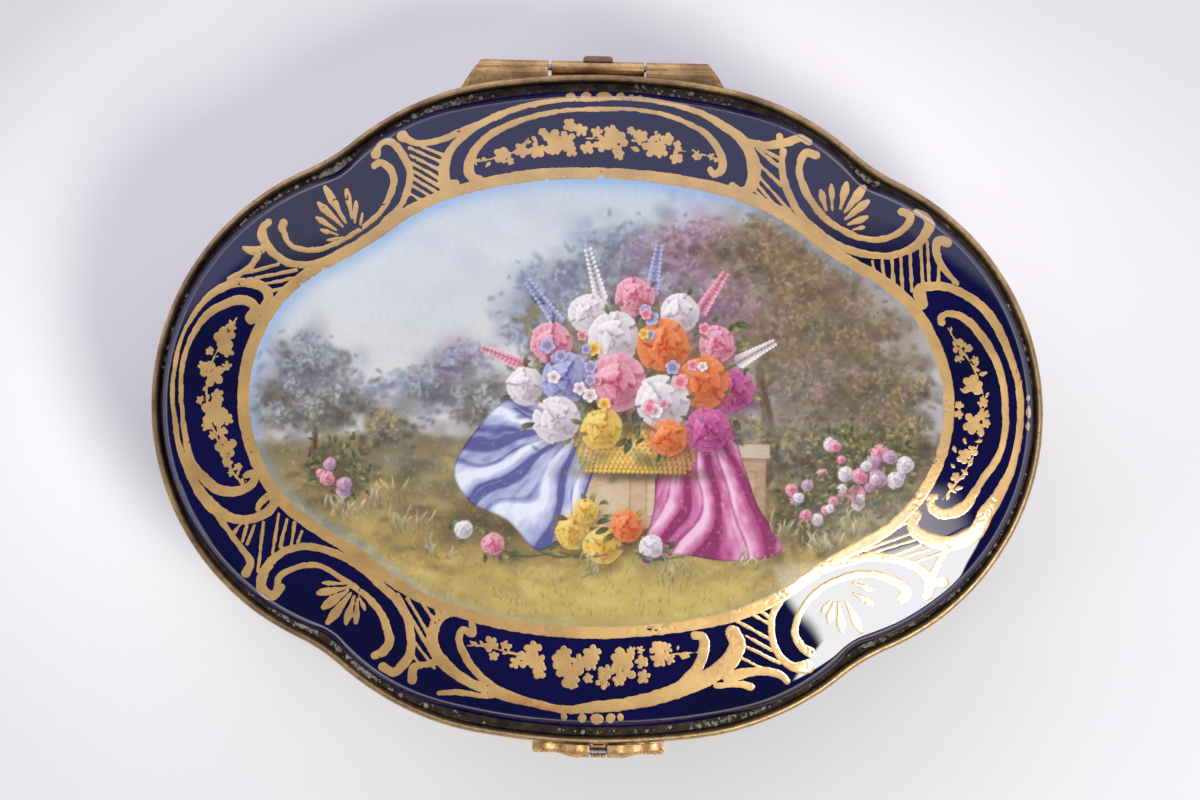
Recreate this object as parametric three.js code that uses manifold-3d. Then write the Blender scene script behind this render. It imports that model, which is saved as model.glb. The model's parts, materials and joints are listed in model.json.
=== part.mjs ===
// A porcelain jewelry box: a lobed oval bowl and a domed lid, each bedded in plaster in a brass collar.
// A three-knuckle hinge joins the collars at the back, and a swinging hasp closes them at the front.
// Millimetres, +Z up, +Y towards the hinge. The origin is the middle of the foot ring's plane.

import * as THREE from "three";
import { mergeVertices } from "three/addons/utils/BufferGeometryUtils.js";
import Module from "manifold-3d";

const wasm = await Module();
wasm.setup();

// Outline of the brass collars: four arcs a quarter, with the hollow waist between end and shoulder.
const COLLAR_OUTLINE = {
  halfLength: 65,
  halfDepth: 48.8,
  endRadius: 37.5,
  longRadius: 103.4,
  shoulderRadius: 41,
  shoulderStart: 80.8,
  waistRadius: 27.2,
};
const COLLAR_THICKNESS = 1.2;

// The porcelain lies inside the collars, with a trough for plaster round it, and its arcs are tighter.
const END_TROUGH = 0.6;
const SIDE_TROUGH = 1.5;
const END_TIGHTER = 2.55;
const LONG_TIGHTER = 10.5;
const SHOULDER_TIGHTER = 9.9;
const SHOULDER_LATER = 4.4;
const PORCELAIN_WAIST_RADIUS = 8.4;
const PORCELAIN_OUTLINE = {
  halfLength: COLLAR_OUTLINE.halfLength - COLLAR_THICKNESS - END_TROUGH,
  halfDepth: COLLAR_OUTLINE.halfDepth - COLLAR_THICKNESS - SIDE_TROUGH,
  endRadius: COLLAR_OUTLINE.endRadius - END_TIGHTER,
  longRadius: COLLAR_OUTLINE.longRadius - LONG_TIGHTER,
  shoulderRadius: COLLAR_OUTLINE.shoulderRadius - SHOULDER_TIGHTER,
  shoulderStart: COLLAR_OUTLINE.shoulderStart - SHOULDER_LATER,
  waistRadius: PORCELAIN_WAIST_RADIUS,
};
const ARC_STEPS = { end: 9, waist: 3, shoulder: 5, long: 3 };

// Clearances
const FILM = 0.1; // solder or plaster film between two fixed pieces
const SEAT_GAP = 0.3; // porcelain to the flange that it is bedded on
const LIP_CLEARANCE = 0.4; // locating lip to the lid collar
const PIN_CLEARANCE = 0.07;
const SWING_CLEARANCE = 0.15; // hasp to what lies behind it
const SIDE_CLEARANCE = 0.2; // hasp to what lies beside it
const WALL_TO_KNUCKLE = 0.1; // collar wall to the hinge barrel
const STOP_CLEARANCE = 0.15; // collar wall to the stop tab, with the lid wide open

// Bowl
const SEAM_HEIGHT = 36;
const PORCELAIN_WALL = 2.6;
const FOOT_INSET = 10;
const FOOT_WIDTH = 3;
const FOOT_HEIGHT = 2;
const FOOT_STEP = 1; // from the foot ring out to the wall above it
const FLOOR_THICKNESS = 3;
const FLOOR_FILLET = 2;
const MOUTH_INSET = 0.3;
const WIDEST_SHARE = 0.7; // of the wall's height
const BULGE_POWER = 2.2;

// Collars
const FLANGE_THICKNESS = 0.9;
const FLANGE_OVERHANG = 0.3; // flange past the inside of the porcelain
const BASE_COLLAR_HEIGHT = 5.8;
const LID_COLLAR_HEIGHT = 4.6;
const BEAD_ROUNDING = 0.4;
const LIP_THICKNESS = 0.8;
const LIP_RISE = 2.4;
const LIP_DROP = 2.2;
const PLASTER_BELOW_RIM = 0.5;
const PLASTER_SLOPE = 0.4; // from the porcelain down to the collar

// Lid
const LID_WALL_HEIGHT = 7.5; // from the seam to the start of the shoulder
const LID_WALL_LEAN = 0.5;
const SHOULDER_WIDTH = 4.2;
const SHOULDER_HEIGHT = 4;
const CROWN_HEIGHT = 5;
const TOP_MARGIN = 7.8; // from the shoulder in to where the outline shrinks towards the middle
const LID_CEILING_DROP = 2.4; // inner shoulder below the outer one

// Hinge
const BARREL_RADIUS = 1;
const HINGE_PIN_RADIUS = 0.45;
const HINGE_OFFSET = -1.5; // the hinge sits a little left of the middle
const MIDDLE_KNUCKLE_SHIFT = 0.5; // from the hinge's own middle
const MIDDLE_KNUCKLE_HALF = 6.8;
const KNUCKLE_GAP_LEFT = 0.5;
const KNUCKLE_GAP_RIGHT = 0.25;
const HINGE_HALF_LENGTH = 16.7;
const MITRE_RUN = 1.9; // how much longer an outer knuckle is at the collar than at its back
const HINGE_LEAF_HEIGHT = 2;
const PIN_END_COVER = 1.4;
const LID_OPEN_ANGLE = 100;
const STOP_WIDTH = 4.4;
const STOP_THICKNESS = 0.7;
const STOP_CORNER = 0.7;
const STOP_DROP = 0.95;

// Clasp: a leaf has a start, measured from the clasp's middle, a length and its widths along it.
const CLASP_OFFSET = 1.2; // the clasp sits a little right of the middle
const HASP_PIN_RADIUS = 0.5;
const HASP_PIN_HEIGHT = 3.6; // above the seam
const CURL_RADIUS = 0.9;
const LUG_WIDTH = 1;
const HASP_NECK_HALF = 1.1;
const HASP_HALF_WIDTH = 3.1;
const HASP_SHOULDER_DROP = 2; // from the pin
const HASP_WIDEST_DROP = 4.6;
const HASP_LENGTH = 8.4;
const HASP_THICKNESS = 1.2;
const POST_RADIUS = 0.8;
const POST_DROP = 3; // below the seam
const POST_REACH = 1.05;
const POST_DOME = 0.3;
const CATCH_PLATE_THICKNESS = 0.3;
const CATCH_PLATE_HEIGHT = 2.8;
const WING_LEAF = {
  start: HASP_NECK_HALF + SIDE_CLEARANCE,
  length: 8.5,
  root: 2,
  belly: 3.2,
  waist: 1.3,
  curl: 1.8,
  reach: 2.1,
};
const CATCH_LEAF = {
  start: HASP_HALF_WIDTH + SIDE_CLEARANCE,
  length: 5.3,
  root: 2.6,
  belly: 3,
  waist: 1.1,
  curl: 1.6,
  reach: 1.6,
};

const ROUND_SIDES = 20;
const CURVE_STEPS = 6;
const LEAF_STEPS = 10;
const CUT_PAST = 1; // how far a cutting shape runs past what it cuts

// A quarter of an outline as points with outward normals, from +X to +Y.
function quarterOutline(o) {
  const unit = (angle) => new THREE.Vector2(Math.cos(angle), Math.sin(angle));
  const shoulderAngle = THREE.MathUtils.degToRad(o.shoulderStart);
  const endCentre = new THREE.Vector2(o.halfLength - o.endRadius, 0);
  const longCentre = new THREE.Vector2(0, o.halfDepth - o.longRadius);
  const shoulderCentre = unit(shoulderAngle)
    .multiplyScalar(o.longRadius - o.shoulderRadius)
    .add(longCentre);
  const across = endCentre.clone().sub(shoulderCentre);
  const gap = across.length();
  const reachShoulder = o.shoulderRadius + o.waistRadius;
  const reachEnd = o.endRadius + o.waistRadius;
  const along = (reachShoulder ** 2 - reachEnd ** 2 + gap ** 2) / (2 * gap);
  const away = Math.sqrt(reachShoulder ** 2 - along ** 2);
  across.normalize();
  const waistCentre = shoulderCentre
    .clone()
    .addScaledVector(across, along)
    .addScaledVector(new THREE.Vector2(-across.y, across.x), away);
  const shoulderEnd = waistCentre.clone().sub(shoulderCentre).angle();
  const waistStart = waistCentre.clone().sub(endCentre).angle();
  const arcs = [
    [endCentre, o.endRadius, 0, waistStart, ARC_STEPS.end],
    [waistCentre, -o.waistRadius, waistStart, shoulderEnd, ARC_STEPS.waist],
    [shoulderCentre, o.shoulderRadius, shoulderEnd, shoulderAngle, ARC_STEPS.shoulder],
    [longCentre, o.longRadius, shoulderAngle, Math.PI / 2, ARC_STEPS.long],
  ];
  const points = [];
  for (const [centre, radius, from, to, steps] of arcs)
    for (let i = 0; i < steps; i++) {
      const normal = unit(from + ((to - from) * i) / steps);
      points.push({ at: centre.clone().addScaledVector(normal, radius), normal });
    }
  points.push({ at: new THREE.Vector2(0, o.halfDepth), normal: unit(Math.PI / 2) });
  return points;
}

// The whole outline, counter-clockwise, mirrored from its quarter.
function wholeOutline(o) {
  const quarter = quarterOutline(o);
  const mirrored = (points, sx, sy) =>
    points.map(({ at, normal }) => ({
      at: new THREE.Vector2(at.x * sx, at.y * sy),
      normal: new THREE.Vector2(normal.x * sx, normal.y * sy),
    }));
  const back = mirrored([...quarter].reverse(), -1, 1).slice(1);
  const left = mirrored(quarter, -1, -1).slice(1);
  const front = mirrored([...quarter].reverse(), 1, -1).slice(1, -1);
  return [...quarter, ...back, ...left, ...front];
}

const collarOutline = wholeOutline(COLLAR_OUTLINE);
const porcelainOutline = wholeOutline(PORCELAIN_OUTLINE);

// A ring of points: the outline moved inwards by inset, then shrunk towards the middle, at a height.
function ring(outline, inset, height, shrink = 1) {
  return outline.map(({ at, normal }) => {
    const p = at.clone().addScaledVector(normal, -inset).multiplyScalar(shrink);
    const z = typeof height === "function" ? height(p.x, p.y, inset) : height;
    return new THREE.Vector3(p.x, p.y, z);
  });
}

// Skins a list of rings, each with as many points. With no caps, the last ring joins the first.
function skin(rings, caps) {
  const count = rings[0].length;
  const positions = rings.flat().flatMap((p) => p.toArray());
  const index = [];
  const last = caps ? rings.length - 1 : rings.length;
  for (let r = 0; r < last; r++)
    for (let i = 0; i < count; i++) {
      const j = (i + 1) % count;
      const next = ((r + 1) % rings.length) * count;
      index.push(r * count + i, r * count + j, next + j);
      index.push(r * count + i, next + j, next + i);
    }
  if (caps) {
    const [start, end] = caps;
    positions.push(0, 0, start, 0, 0, end);
    const startIndex = rings.length * count;
    const endRing = (rings.length - 1) * count;
    for (let i = 0; i < count; i++) {
      const j = (i + 1) % count;
      index.push(startIndex, j, i);
      index.push(startIndex + 1, endRing + i, endRing + j);
    }
  }
  return new THREE.BufferGeometry()
    .setAttribute("position", new THREE.Float32BufferAttribute(positions, 3))
    .setIndex(index);
}

function toSolid(geometry) {
  const bare = geometry.index ? geometry.toNonIndexed() : geometry.clone();
  bare.deleteAttribute("normal");
  bare.deleteAttribute("uv");
  const merged = mergeVertices(bare, 1e-4);
  return new wasm.Manifold(
    new wasm.Mesh({
      numProp: 3,
      vertProperties: merged.attributes.position.array,
      triVerts: new Uint32Array(merged.index.array),
    }),
  );
}

function toGeometry(solid) {
  const { vertProperties, triVerts } = solid.getMesh();
  return new THREE.BufferGeometry()
    .setAttribute("position", new THREE.BufferAttribute(vertProperties, 3))
    .setIndex(new THREE.BufferAttribute(triVerts, 1));
}

const material = (color, roughness, metalness) =>
  new THREE.MeshStandardMaterial({ color, roughness, metalness });
const materials = {
  porcelain: material(0x10164a, 0.1, 0),
  plaster: material(0xb9ad94, 0.95, 0),
  collarBrass: material(0x9b7443, 0.38, 1),
  claspGilt: material(0xd9a552, 0.28, 1),
  stopCopper: material(0x8f5a42, 0.45, 1),
  steel: material(0x85888c, 0.35, 1),
};

function piece(name, geometry, finish) {
  const mesh = new THREE.Mesh(geometry, finish);
  mesh.name = name;
  return mesh;
}

const solidPiece = (name, solid, finish) => piece(name, toGeometry(solid), finish);

// Bowl: a bulging wall on a foot ring, with a level floor inside.
const MOUTH_HEIGHT = SEAM_HEIGHT - FLANGE_THICKNESS - SEAT_GAP;
const FLOOR_HEIGHT = FOOT_HEIGHT + FLOOR_THICKNESS;

// How far the wall's outside lies in from the outline, at a share of the height between foot and mouth.
function bulge(share) {
  if (share > WIDEST_SHARE)
    return MOUTH_INSET * ((share - WIDEST_SHARE) / (1 - WIDEST_SHARE)) ** 2;
  return (FOOT_INSET - FOOT_STEP) * (1 - share / WIDEST_SHARE) ** BULGE_POWER;
}

function baseBowl() {
  const shares = [0, 0.1, 0.22, 0.36, 0.52, 0.7, 0.86, 1];
  const wallHeight = MOUTH_HEIGHT - FOOT_HEIGHT;
  const heightAt = (share) => FOOT_HEIGHT + share * wallHeight;
  const floorShare = FLOOR_THICKNESS / wallHeight;
  const floorInset = bulge(floorShare) + PORCELAIN_WALL + FLOOR_FILLET;
  const outside = shares.map((share) => ring(porcelainOutline, bulge(share), heightAt(share)));
  const inside = shares
    .filter((share) => heightAt(share) > FLOOR_HEIGHT + FLOOR_FILLET / 2)
    .reverse()
    .map((share) => ring(porcelainOutline, bulge(share) + PORCELAIN_WALL, heightAt(share)));
  const rings = [
    ring(porcelainOutline, FOOT_INSET + FOOT_WIDTH, FOOT_HEIGHT),
    ring(porcelainOutline, FOOT_INSET + FOOT_WIDTH, 0),
    ring(porcelainOutline, FOOT_INSET, 0),
    ...outside,
    ...inside,
    ring(porcelainOutline, floorInset, FLOOR_HEIGHT),
  ];
  return piece("base_bowl", skin(rings, [FOOT_HEIGHT, FLOOR_HEIGHT]), materials.porcelain);
}

// Lid: a short wall, a rolled shoulder and a gently crowned top.
const SHOULDER_START = SEAM_HEIGHT + LID_WALL_HEIGHT;
const LID_EDGE = SEAM_HEIGHT + FLANGE_THICKNESS + FILM + SEAT_GAP;

function crown(x, y) {
  const { halfLength, halfDepth } = PORCELAIN_OUTLINE;
  return CROWN_HEIGHT * Math.max(0, 1 - (x / halfLength) ** 2 - (y / halfDepth) ** 2);
}

// Height of the lid at a point that lies a given inset in from its wall.
function lidHeight(x, y, inset, drop) {
  const roll = Math.min(Math.max(inset, 0) / SHOULDER_WIDTH, 1);
  const rolled = SHOULDER_HEIGHT * Math.sqrt(1 - (1 - roll) ** 2);
  return SHOULDER_START - drop + rolled + crown(x, y) * roll;
}

function lidDome() {
  const outer = (x, y, inset) => lidHeight(x, y, inset, 0);
  const inner = (x, y, inset) => lidHeight(x, y, inset - PORCELAIN_WALL, LID_CEILING_DROP);
  const rolls = [0, 0.06, 0.19, 0.38, 0.67, 1];
  const innerRolls = [0, 0.1, 0.36, 1];
  const shrinks = [0.75, 0.5, 0.25];
  const topInset = SHOULDER_WIDTH + TOP_MARGIN;
  const top = skin(
    [
      ring(porcelainOutline, LID_WALL_LEAN, LID_EDGE),
      ...rolls.map((roll) => ring(porcelainOutline, roll * SHOULDER_WIDTH, outer)),
      ring(porcelainOutline, SHOULDER_WIDTH + TOP_MARGIN / 2, outer),
      ring(porcelainOutline, topInset, outer),
      ...shrinks.map((shrink) => ring(porcelainOutline, topInset, outer, shrink)),
    ],
    [LID_EDGE, lidHeight(0, 0, topInset, 0)],
  );
  const hollowInset = PORCELAIN_WALL + FILM;
  const innerRoll = (roll) => ring(porcelainOutline, PORCELAIN_WALL + roll * SHOULDER_WIDTH, inner);
  const hollow = skin(
    [
      ring(porcelainOutline, hollowInset, LID_EDGE - CUT_PAST),
      ring(porcelainOutline, hollowInset, LID_EDGE),
      ...innerRolls.map(innerRoll),
      ring(porcelainOutline, topInset, inner),
      ...shrinks.map((shrink) => ring(porcelainOutline, topInset, inner, shrink)),
    ],
    [LID_EDGE - CUT_PAST, lidHeight(0, 0, topInset, LID_CEILING_DROP)],
  );
  return solidPiece("lid_dome", toSolid(top).subtract(toSolid(hollow)), materials.porcelain);
}

// Collars: each is a wall outside the porcelain with a flange under or over the porcelain's edge.
const LID_FLANGE_INSET = PORCELAIN_WALL + FLANGE_OVERHANG;
const LIP_OUTSIDE = LID_FLANGE_INSET + LIP_CLEARANCE;
const LIP_INSIDE = LIP_OUTSIDE + LIP_THICKNESS;

function baseCollar() {
  const bottom = SEAM_HEIGHT - BASE_COLLAR_HEIGHT;
  const flangeBottom = SEAM_HEIGHT - FLANGE_THICKNESS;
  const rings = [
    ring(collarOutline, COLLAR_THICKNESS, bottom),
    ring(collarOutline, BEAD_ROUNDING, bottom),
    ring(collarOutline, 0, bottom + BEAD_ROUNDING),
    ring(collarOutline, 0, SEAM_HEIGHT),
    ring(porcelainOutline, LIP_OUTSIDE - FILM, SEAM_HEIGHT),
    ring(porcelainOutline, LIP_OUTSIDE - FILM, flangeBottom),
    ring(collarOutline, COLLAR_THICKNESS, flangeBottom),
  ];
  return piece("base_collar", skin(rings), materials.collarBrass);
}

function baseLip() {
  const [bottom, top] = [SEAM_HEIGHT - LIP_DROP, SEAM_HEIGHT + LIP_RISE];
  const rings = [
    ring(porcelainOutline, LIP_OUTSIDE, bottom),
    ring(porcelainOutline, LIP_OUTSIDE, top),
    ring(porcelainOutline, LIP_INSIDE, top),
    ring(porcelainOutline, LIP_INSIDE, bottom),
  ];
  return piece("base_lip", skin(rings), materials.collarBrass);
}

function lidCollar() {
  const bottom = SEAM_HEIGHT + FILM;
  const top = SEAM_HEIGHT + LID_COLLAR_HEIGHT;
  const flangeTop = bottom + FLANGE_THICKNESS;
  const rings = [
    ring(porcelainOutline, LID_FLANGE_INSET, bottom),
    ring(collarOutline, 0, bottom),
    ring(collarOutline, 0, top - BEAD_ROUNDING),
    ring(collarOutline, BEAD_ROUNDING, top),
    ring(collarOutline, COLLAR_THICKNESS - BEAD_ROUNDING / 2, top),
    ring(collarOutline, COLLAR_THICKNESS, top - BEAD_ROUNDING / 2),
    ring(collarOutline, COLLAR_THICKNESS, flangeTop),
    ring(porcelainOutline, LID_FLANGE_INSET, flangeTop),
  ];
  return piece("lid_collar", skin(rings), materials.collarBrass);
}

// Plaster: fills the trough between the collar's wall and the porcelain.
function plaster(name, bottom, top) {
  const outside = COLLAR_THICKNESS + FILM;
  const rings = [
    ring(porcelainOutline, -FILM, bottom),
    ring(collarOutline, outside, bottom),
    ring(collarOutline, outside, top - PLASTER_SLOPE),
    ring(porcelainOutline, -FILM, top),
  ];
  return piece(name, skin(rings), materials.plaster);
}

// Round bar along X between two ends.
function bar(radius, [from, to], y, z) {
  const geometry = new THREE.CylinderGeometry(radius, radius, Math.abs(to - from), ROUND_SIDES)
    .rotateZ(Math.PI / 2)
    .translate((from + to) / 2, y, z);
  return toSolid(geometry);
}

function extrude(shape, depth) {
  const settings = { depth, bevelEnabled: false, curveSegments: CURVE_STEPS };
  return new THREE.ExtrudeGeometry(shape, settings);
}

// Extrudes a shape drawn in X and Y along Z.
function extrudeUp(shape, bottom, top) {
  return toSolid(extrude(shape, top - bottom).translate(0, 0, bottom));
}

// Extrudes a shape drawn in X and Z along Y.
function extrudeAcross(shape, from, to) {
  return toSolid(extrude(shape, to - from).rotateX(Math.PI / 2).translate(0, to, 0));
}

function block([x0, x1], [y0, y1], [z0, z1]) {
  const [width, depth, height] = [Math.abs(x1 - x0), y1 - y0, z1 - z0];
  const geometry = new THREE.BoxGeometry(width, depth, height);
  return toSolid(geometry.translate((x0 + x1) / 2, (y0 + y1) / 2, (z0 + z1) / 2));
}

// The part of a block that lies outside the collars: what a fitting soldered to them may fill.
function outsideCollars(xs, ys, zs) {
  const outline = ring(collarOutline, -FILM, 0).map(({ x, y }) => new THREE.Vector2(x, y));
  const collars = extrudeUp(new THREE.Shape(outline), zs[0] - CUT_PAST, zs[1] + CUT_PAST);
  return block(xs, ys, zs).subtract(collars);
}

// Hinge: its axis lies at the seam, just behind the collars.
const HINGE_WALL_GAP = BARREL_RADIUS + WALL_TO_KNUCKLE;
const HINGE_Y = COLLAR_OUTLINE.halfDepth + HINGE_WALL_GAP;
const HINGE_MIDDLE = HINGE_OFFSET + MIDDLE_KNUCKLE_SHIFT;
const MIDDLE_ENDS = [HINGE_MIDDLE - MIDDLE_KNUCKLE_HALF, HINGE_MIDDLE + MIDDLE_KNUCKLE_HALF];
const LID_LEAF_HEIGHTS = [SEAM_HEIGHT + FILM, SEAM_HEIGHT + FILM + HINGE_LEAF_HEIGHT];
const BASE_LEAF_HEIGHTS = [SEAM_HEIGHT - FILM - HINGE_LEAF_HEIGHT, SEAM_HEIGHT - FILM];

const hingeBar = (radius, ends) => bar(radius, ends, HINGE_Y, SEAM_HEIGHT);
const hingeBore = (ends) => hingeBar(HINGE_PIN_RADIUS + PIN_CLEARANCE, ends);

// A leaf fills the space between the collar and the knuckle that it carries.
function hingeLeaf(ends, heights) {
  return outsideCollars(ends, [0, HINGE_Y], heights).subtract(
    hingeBar(BARREL_RADIUS + FILM, [ends[0] - CUT_PAST, ends[1] + CUT_PAST]),
  );
}

// Knuckle and leaf on the lid's collar, at the left (side -1) or right (side 1), with a slanting end.
function lidHingeSide(name, side) {
  const inner = side < 0 ? MIDDLE_ENDS[0] - KNUCKLE_GAP_LEFT : MIDDLE_ENDS[1] + KNUCKLE_GAP_RIGHT;
  const back = HINGE_Y + BARREL_RADIUS;
  const backEnd = HINGE_OFFSET + side * HINGE_HALF_LENGTH;
  const slant = (side * MITRE_RUN) / (2 * BARREL_RADIUS);
  const endAt = (y) => backEnd + slant * (back - y);
  const [near, far] = [back + CUT_PAST, HINGE_Y - 2 * HINGE_WALL_GAP - BARREL_RADIUS];
  const outline = [
    new THREE.Vector2(inner, near),
    new THREE.Vector2(inner, far),
    new THREE.Vector2(endAt(far), far),
    new THREE.Vector2(endAt(near), near),
  ];
  const reach = [inner, endAt(far)].sort((a, b) => a - b);
  const kept = extrudeUp(
    new THREE.Shape(outline),
    SEAM_HEIGHT - BARREL_RADIUS - CUT_PAST,
    LID_LEAF_HEIGHTS[1] + CUT_PAST,
  );
  const bore = hingeBore([inner - side * CUT_PAST, backEnd - side * PIN_END_COVER]);
  const knuckle = hingeBar(BARREL_RADIUS, reach).intersect(kept).subtract(bore);
  const leaf = hingeLeaf(reach, LID_LEAF_HEIGHTS).intersect(kept);
  return [
    solidPiece(`hinge_${name}_knuckle`, knuckle, materials.collarBrass),
    solidPiece(`hinge_${name}_leaf`, leaf, materials.collarBrass),
  ];
}

function baseHingeSide() {
  const [from, to] = MIDDLE_ENDS;
  const bore = hingeBore([from - CUT_PAST, to + CUT_PAST]);
  const knuckle = hingeBar(BARREL_RADIUS, MIDDLE_ENDS).subtract(bore);
  const leaf = hingeLeaf(MIDDLE_ENDS, BASE_LEAF_HEIGHTS);
  return [
    solidPiece("hinge_middle_knuckle", knuckle, materials.collarBrass),
    solidPiece("hinge_middle_leaf", leaf, materials.collarBrass),
  ];
}

function hingePin() {
  const half = HINGE_HALF_LENGTH - PIN_END_COVER - SEAT_GAP;
  const pin = hingeBar(HINGE_PIN_RADIUS, [HINGE_OFFSET - half, HINGE_OFFSET + half]);
  return solidPiece("hinge_pin", pin, materials.steel);
}

// The tab behind the middle knuckle: its top just clears the lid's collar when the lid is wide open.
function stopTab() {
  const front = BARREL_RADIUS + FILM / 2;
  const open = THREE.MathUtils.degToRad(LID_OPEN_ANGLE);
  const wallAbove = HINGE_WALL_GAP + (front + STOP_THICKNESS) * Math.cos(open);
  const top = wallAbove / Math.sin(open) - STOP_CLEARANCE;
  const half = STOP_WIDTH / 2;
  const shape = new THREE.Shape();
  shape.moveTo(-half, 0);
  shape.lineTo(half, 0);
  shape.quadraticCurveTo(half, STOP_THICKNESS, half - STOP_CORNER, STOP_THICKNESS);
  shape.lineTo(STOP_CORNER - half, STOP_THICKNESS);
  shape.quadraticCurveTo(-half, STOP_THICKNESS, -half, 0);
  const solid = extrudeUp(shape, SEAM_HEIGHT - STOP_DROP, SEAM_HEIGHT + top);
  const place = [HINGE_MIDDLE, HINGE_Y + front, 0];
  return solidPiece("hinge_stop_tab", solid.translate(place), materials.stopCopper);
}

// Clasp
const COLLAR_FRONT = -COLLAR_OUTLINE.halfDepth;
const HASP_PIN_Y = COLLAR_FRONT - CURL_RADIUS - SWING_CLEARANCE;
const HASP_PIN_Z = SEAM_HEIGHT + HASP_PIN_HEIGHT;
const CATCH_FACE = COLLAR_FRONT - FILM - CATCH_PLATE_THICKNESS;
const HASP_BACK = CATCH_FACE - SWING_CLEARANCE;
const POST_END = COLLAR_FRONT - POST_REACH;
const POST_Z = SEAM_HEIGHT - POST_DROP;

const aboutClasp = (half) => [CLASP_OFFSET - half, CLASP_OFFSET + half];
const haspBar = (radius, ends) => bar(radius, ends, HASP_PIN_Y, HASP_PIN_Z);
const haspBore = () =>
  haspBar(HASP_PIN_RADIUS + PIN_CLEARANCE, aboutClasp(WING_LEAF.start + LUG_WIDTH + CUT_PAST));

// A cast leaf with a curled end, on the left (side -1) or right (side 1), that lies against the collar.
function leaf(shape, side, midZ) {
  const { start, length, root, belly, waist, curl, reach } = shape;
  const at = (share) => CLASP_OFFSET + side * (start + share * length);
  const point = (share, off) => new THREE.Vector2(at(share), off);
  const widths = [
    [0, root],
    [0.3, belly],
    [0.72, waist],
    [0.9, curl],
    [1, curl / 3],
  ];
  const edge = (sign) => {
    const points = widths.map(([share, width]) => point(share, midZ + (sign * width) / 2));
    return new THREE.SplineCurve(points).getPoints(LEAF_STEPS);
  };
  const face = new THREE.Shape([...edge(1), ...edge(-1).reverse()]);
  const reaches = [
    [0, 0.95],
    [0.22, 1],
    [0.5, 0.75],
    [0.8, 0.55],
    [1, 0.45],
  ];
  const fronts = reaches.map(([share, part]) => point(share, COLLAR_FRONT - part * reach));
  const plan = new THREE.Shape([
    ...new THREE.SplineCurve(fronts).getPoints(LEAF_STEPS),
    point(1, 0),
    point(0, 0),
  ]);
  const heights = [midZ - belly, midZ + belly];
  const room = outsideCollars([at(0), at(1)], [COLLAR_FRONT - 2 * reach, 0], heights);
  return extrudeAcross(face, COLLAR_FRONT - 2 * reach, 0)
    .intersect(extrudeUp(plan, ...heights))
    .intersect(room);
}

function claspWing(name, side) {
  const { start } = WING_LEAF;
  const lugEnds = [start, start + LUG_WIDTH].map((x) => CLASP_OFFSET + side * x);
  const wing = leaf(WING_LEAF, side, HASP_PIN_Z).add(haspBar(CURL_RADIUS, lugEnds));
  return solidPiece(name, wing.subtract(haspBore()), materials.claspGilt);
}

function haspPin() {
  const half = WING_LEAF.start + LUG_WIDTH - SEAT_GAP;
  return solidPiece("hasp_pin", haspBar(HASP_PIN_RADIUS, aboutClasp(half)), materials.steel);
}

// The hasp: a curl on the pin, a narrow neck and a rounded pad, grooved behind to drop over the post.
function hasp() {
  const at = (x, drop) => new THREE.Vector2(CLASP_OFFSET + x, HASP_PIN_Z - drop);
  const side = (sign) =>
    new THREE.SplineCurve([
      at(sign * HASP_NECK_HALF, HASP_SHOULDER_DROP),
      at(sign * HASP_HALF_WIDTH, (HASP_SHOULDER_DROP + HASP_WIDEST_DROP) / 2),
      at(sign * HASP_HALF_WIDTH, HASP_WIDEST_DROP),
      at((sign * HASP_HALF_WIDTH) / 2, (HASP_WIDEST_DROP + 2 * HASP_LENGTH) / 3),
      at(0, HASP_LENGTH),
    ]).getPoints(LEAF_STEPS);
  const face = new THREE.Shape([
    at(-HASP_NECK_HALF, 0),
    ...side(-1),
    ...side(1).reverse().slice(1),
    at(HASP_NECK_HALF, 0),
  ]);
  const pad = extrudeAcross(face, HASP_BACK - HASP_THICKNESS, HASP_BACK);
  const grooveFloor = POST_END - SEAT_GAP;
  const groove = block(
    aboutClasp(POST_RADIUS + SIDE_CLEARANCE),
    [grooveFloor, HASP_BACK + CUT_PAST],
    [HASP_PIN_Z - HASP_LENGTH - CUT_PAST, POST_Z + POST_RADIUS + SEAT_GAP],
  );
  const curl = haspBar(CURL_RADIUS, aboutClasp(HASP_NECK_HALF));
  const solid = pad.add(curl).subtract(haspBore()).subtract(groove);
  return solidPiece("hasp", solid, materials.claspGilt);
}

// The plate that carries the post, with a leaf on each side of the hasp.
function catchPlate() {
  const bridge = outsideCollars(
    aboutClasp(CATCH_LEAF.start + CATCH_LEAF.length / 4),
    [CATCH_FACE, 0],
    [POST_Z - CATCH_PLATE_HEIGHT / 2, POST_Z + CATCH_PLATE_HEIGHT / 2],
  );
  const solid = bridge.add(leaf(CATCH_LEAF, -1, POST_Z)).add(leaf(CATCH_LEAF, 1, POST_Z));
  return solidPiece("catch_plate", solid, materials.claspGilt);
}

// The post that the hasp's groove drops over, with a domed end.
function catchPost() {
  const [start, end] = [FILM / 2 - CATCH_FACE, -POST_END];
  const profile = [
    new THREE.Vector2(0, start),
    new THREE.Vector2(POST_RADIUS, start),
    new THREE.Vector2(POST_RADIUS, end - POST_DOME),
    new THREE.Vector2(POST_RADIUS * 0.7, end - POST_DOME / 3),
    new THREE.Vector2(0, end),
  ];
  const geometry = new THREE.LatheGeometry(profile, ROUND_SIDES);
  const solid = toSolid(geometry.rotateX(Math.PI).translate(CLASP_OFFSET, 0, POST_Z));
  return solidPiece("catch_post", solid, materials.claspGilt);
}

const PLASTER_BOTTOM = SEAM_HEIGHT - BASE_COLLAR_HEIGHT + PLASTER_BELOW_RIM;
const PLASTER_TOP = SEAM_HEIGHT + LID_COLLAR_HEIGHT - PLASTER_BELOW_RIM;

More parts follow.
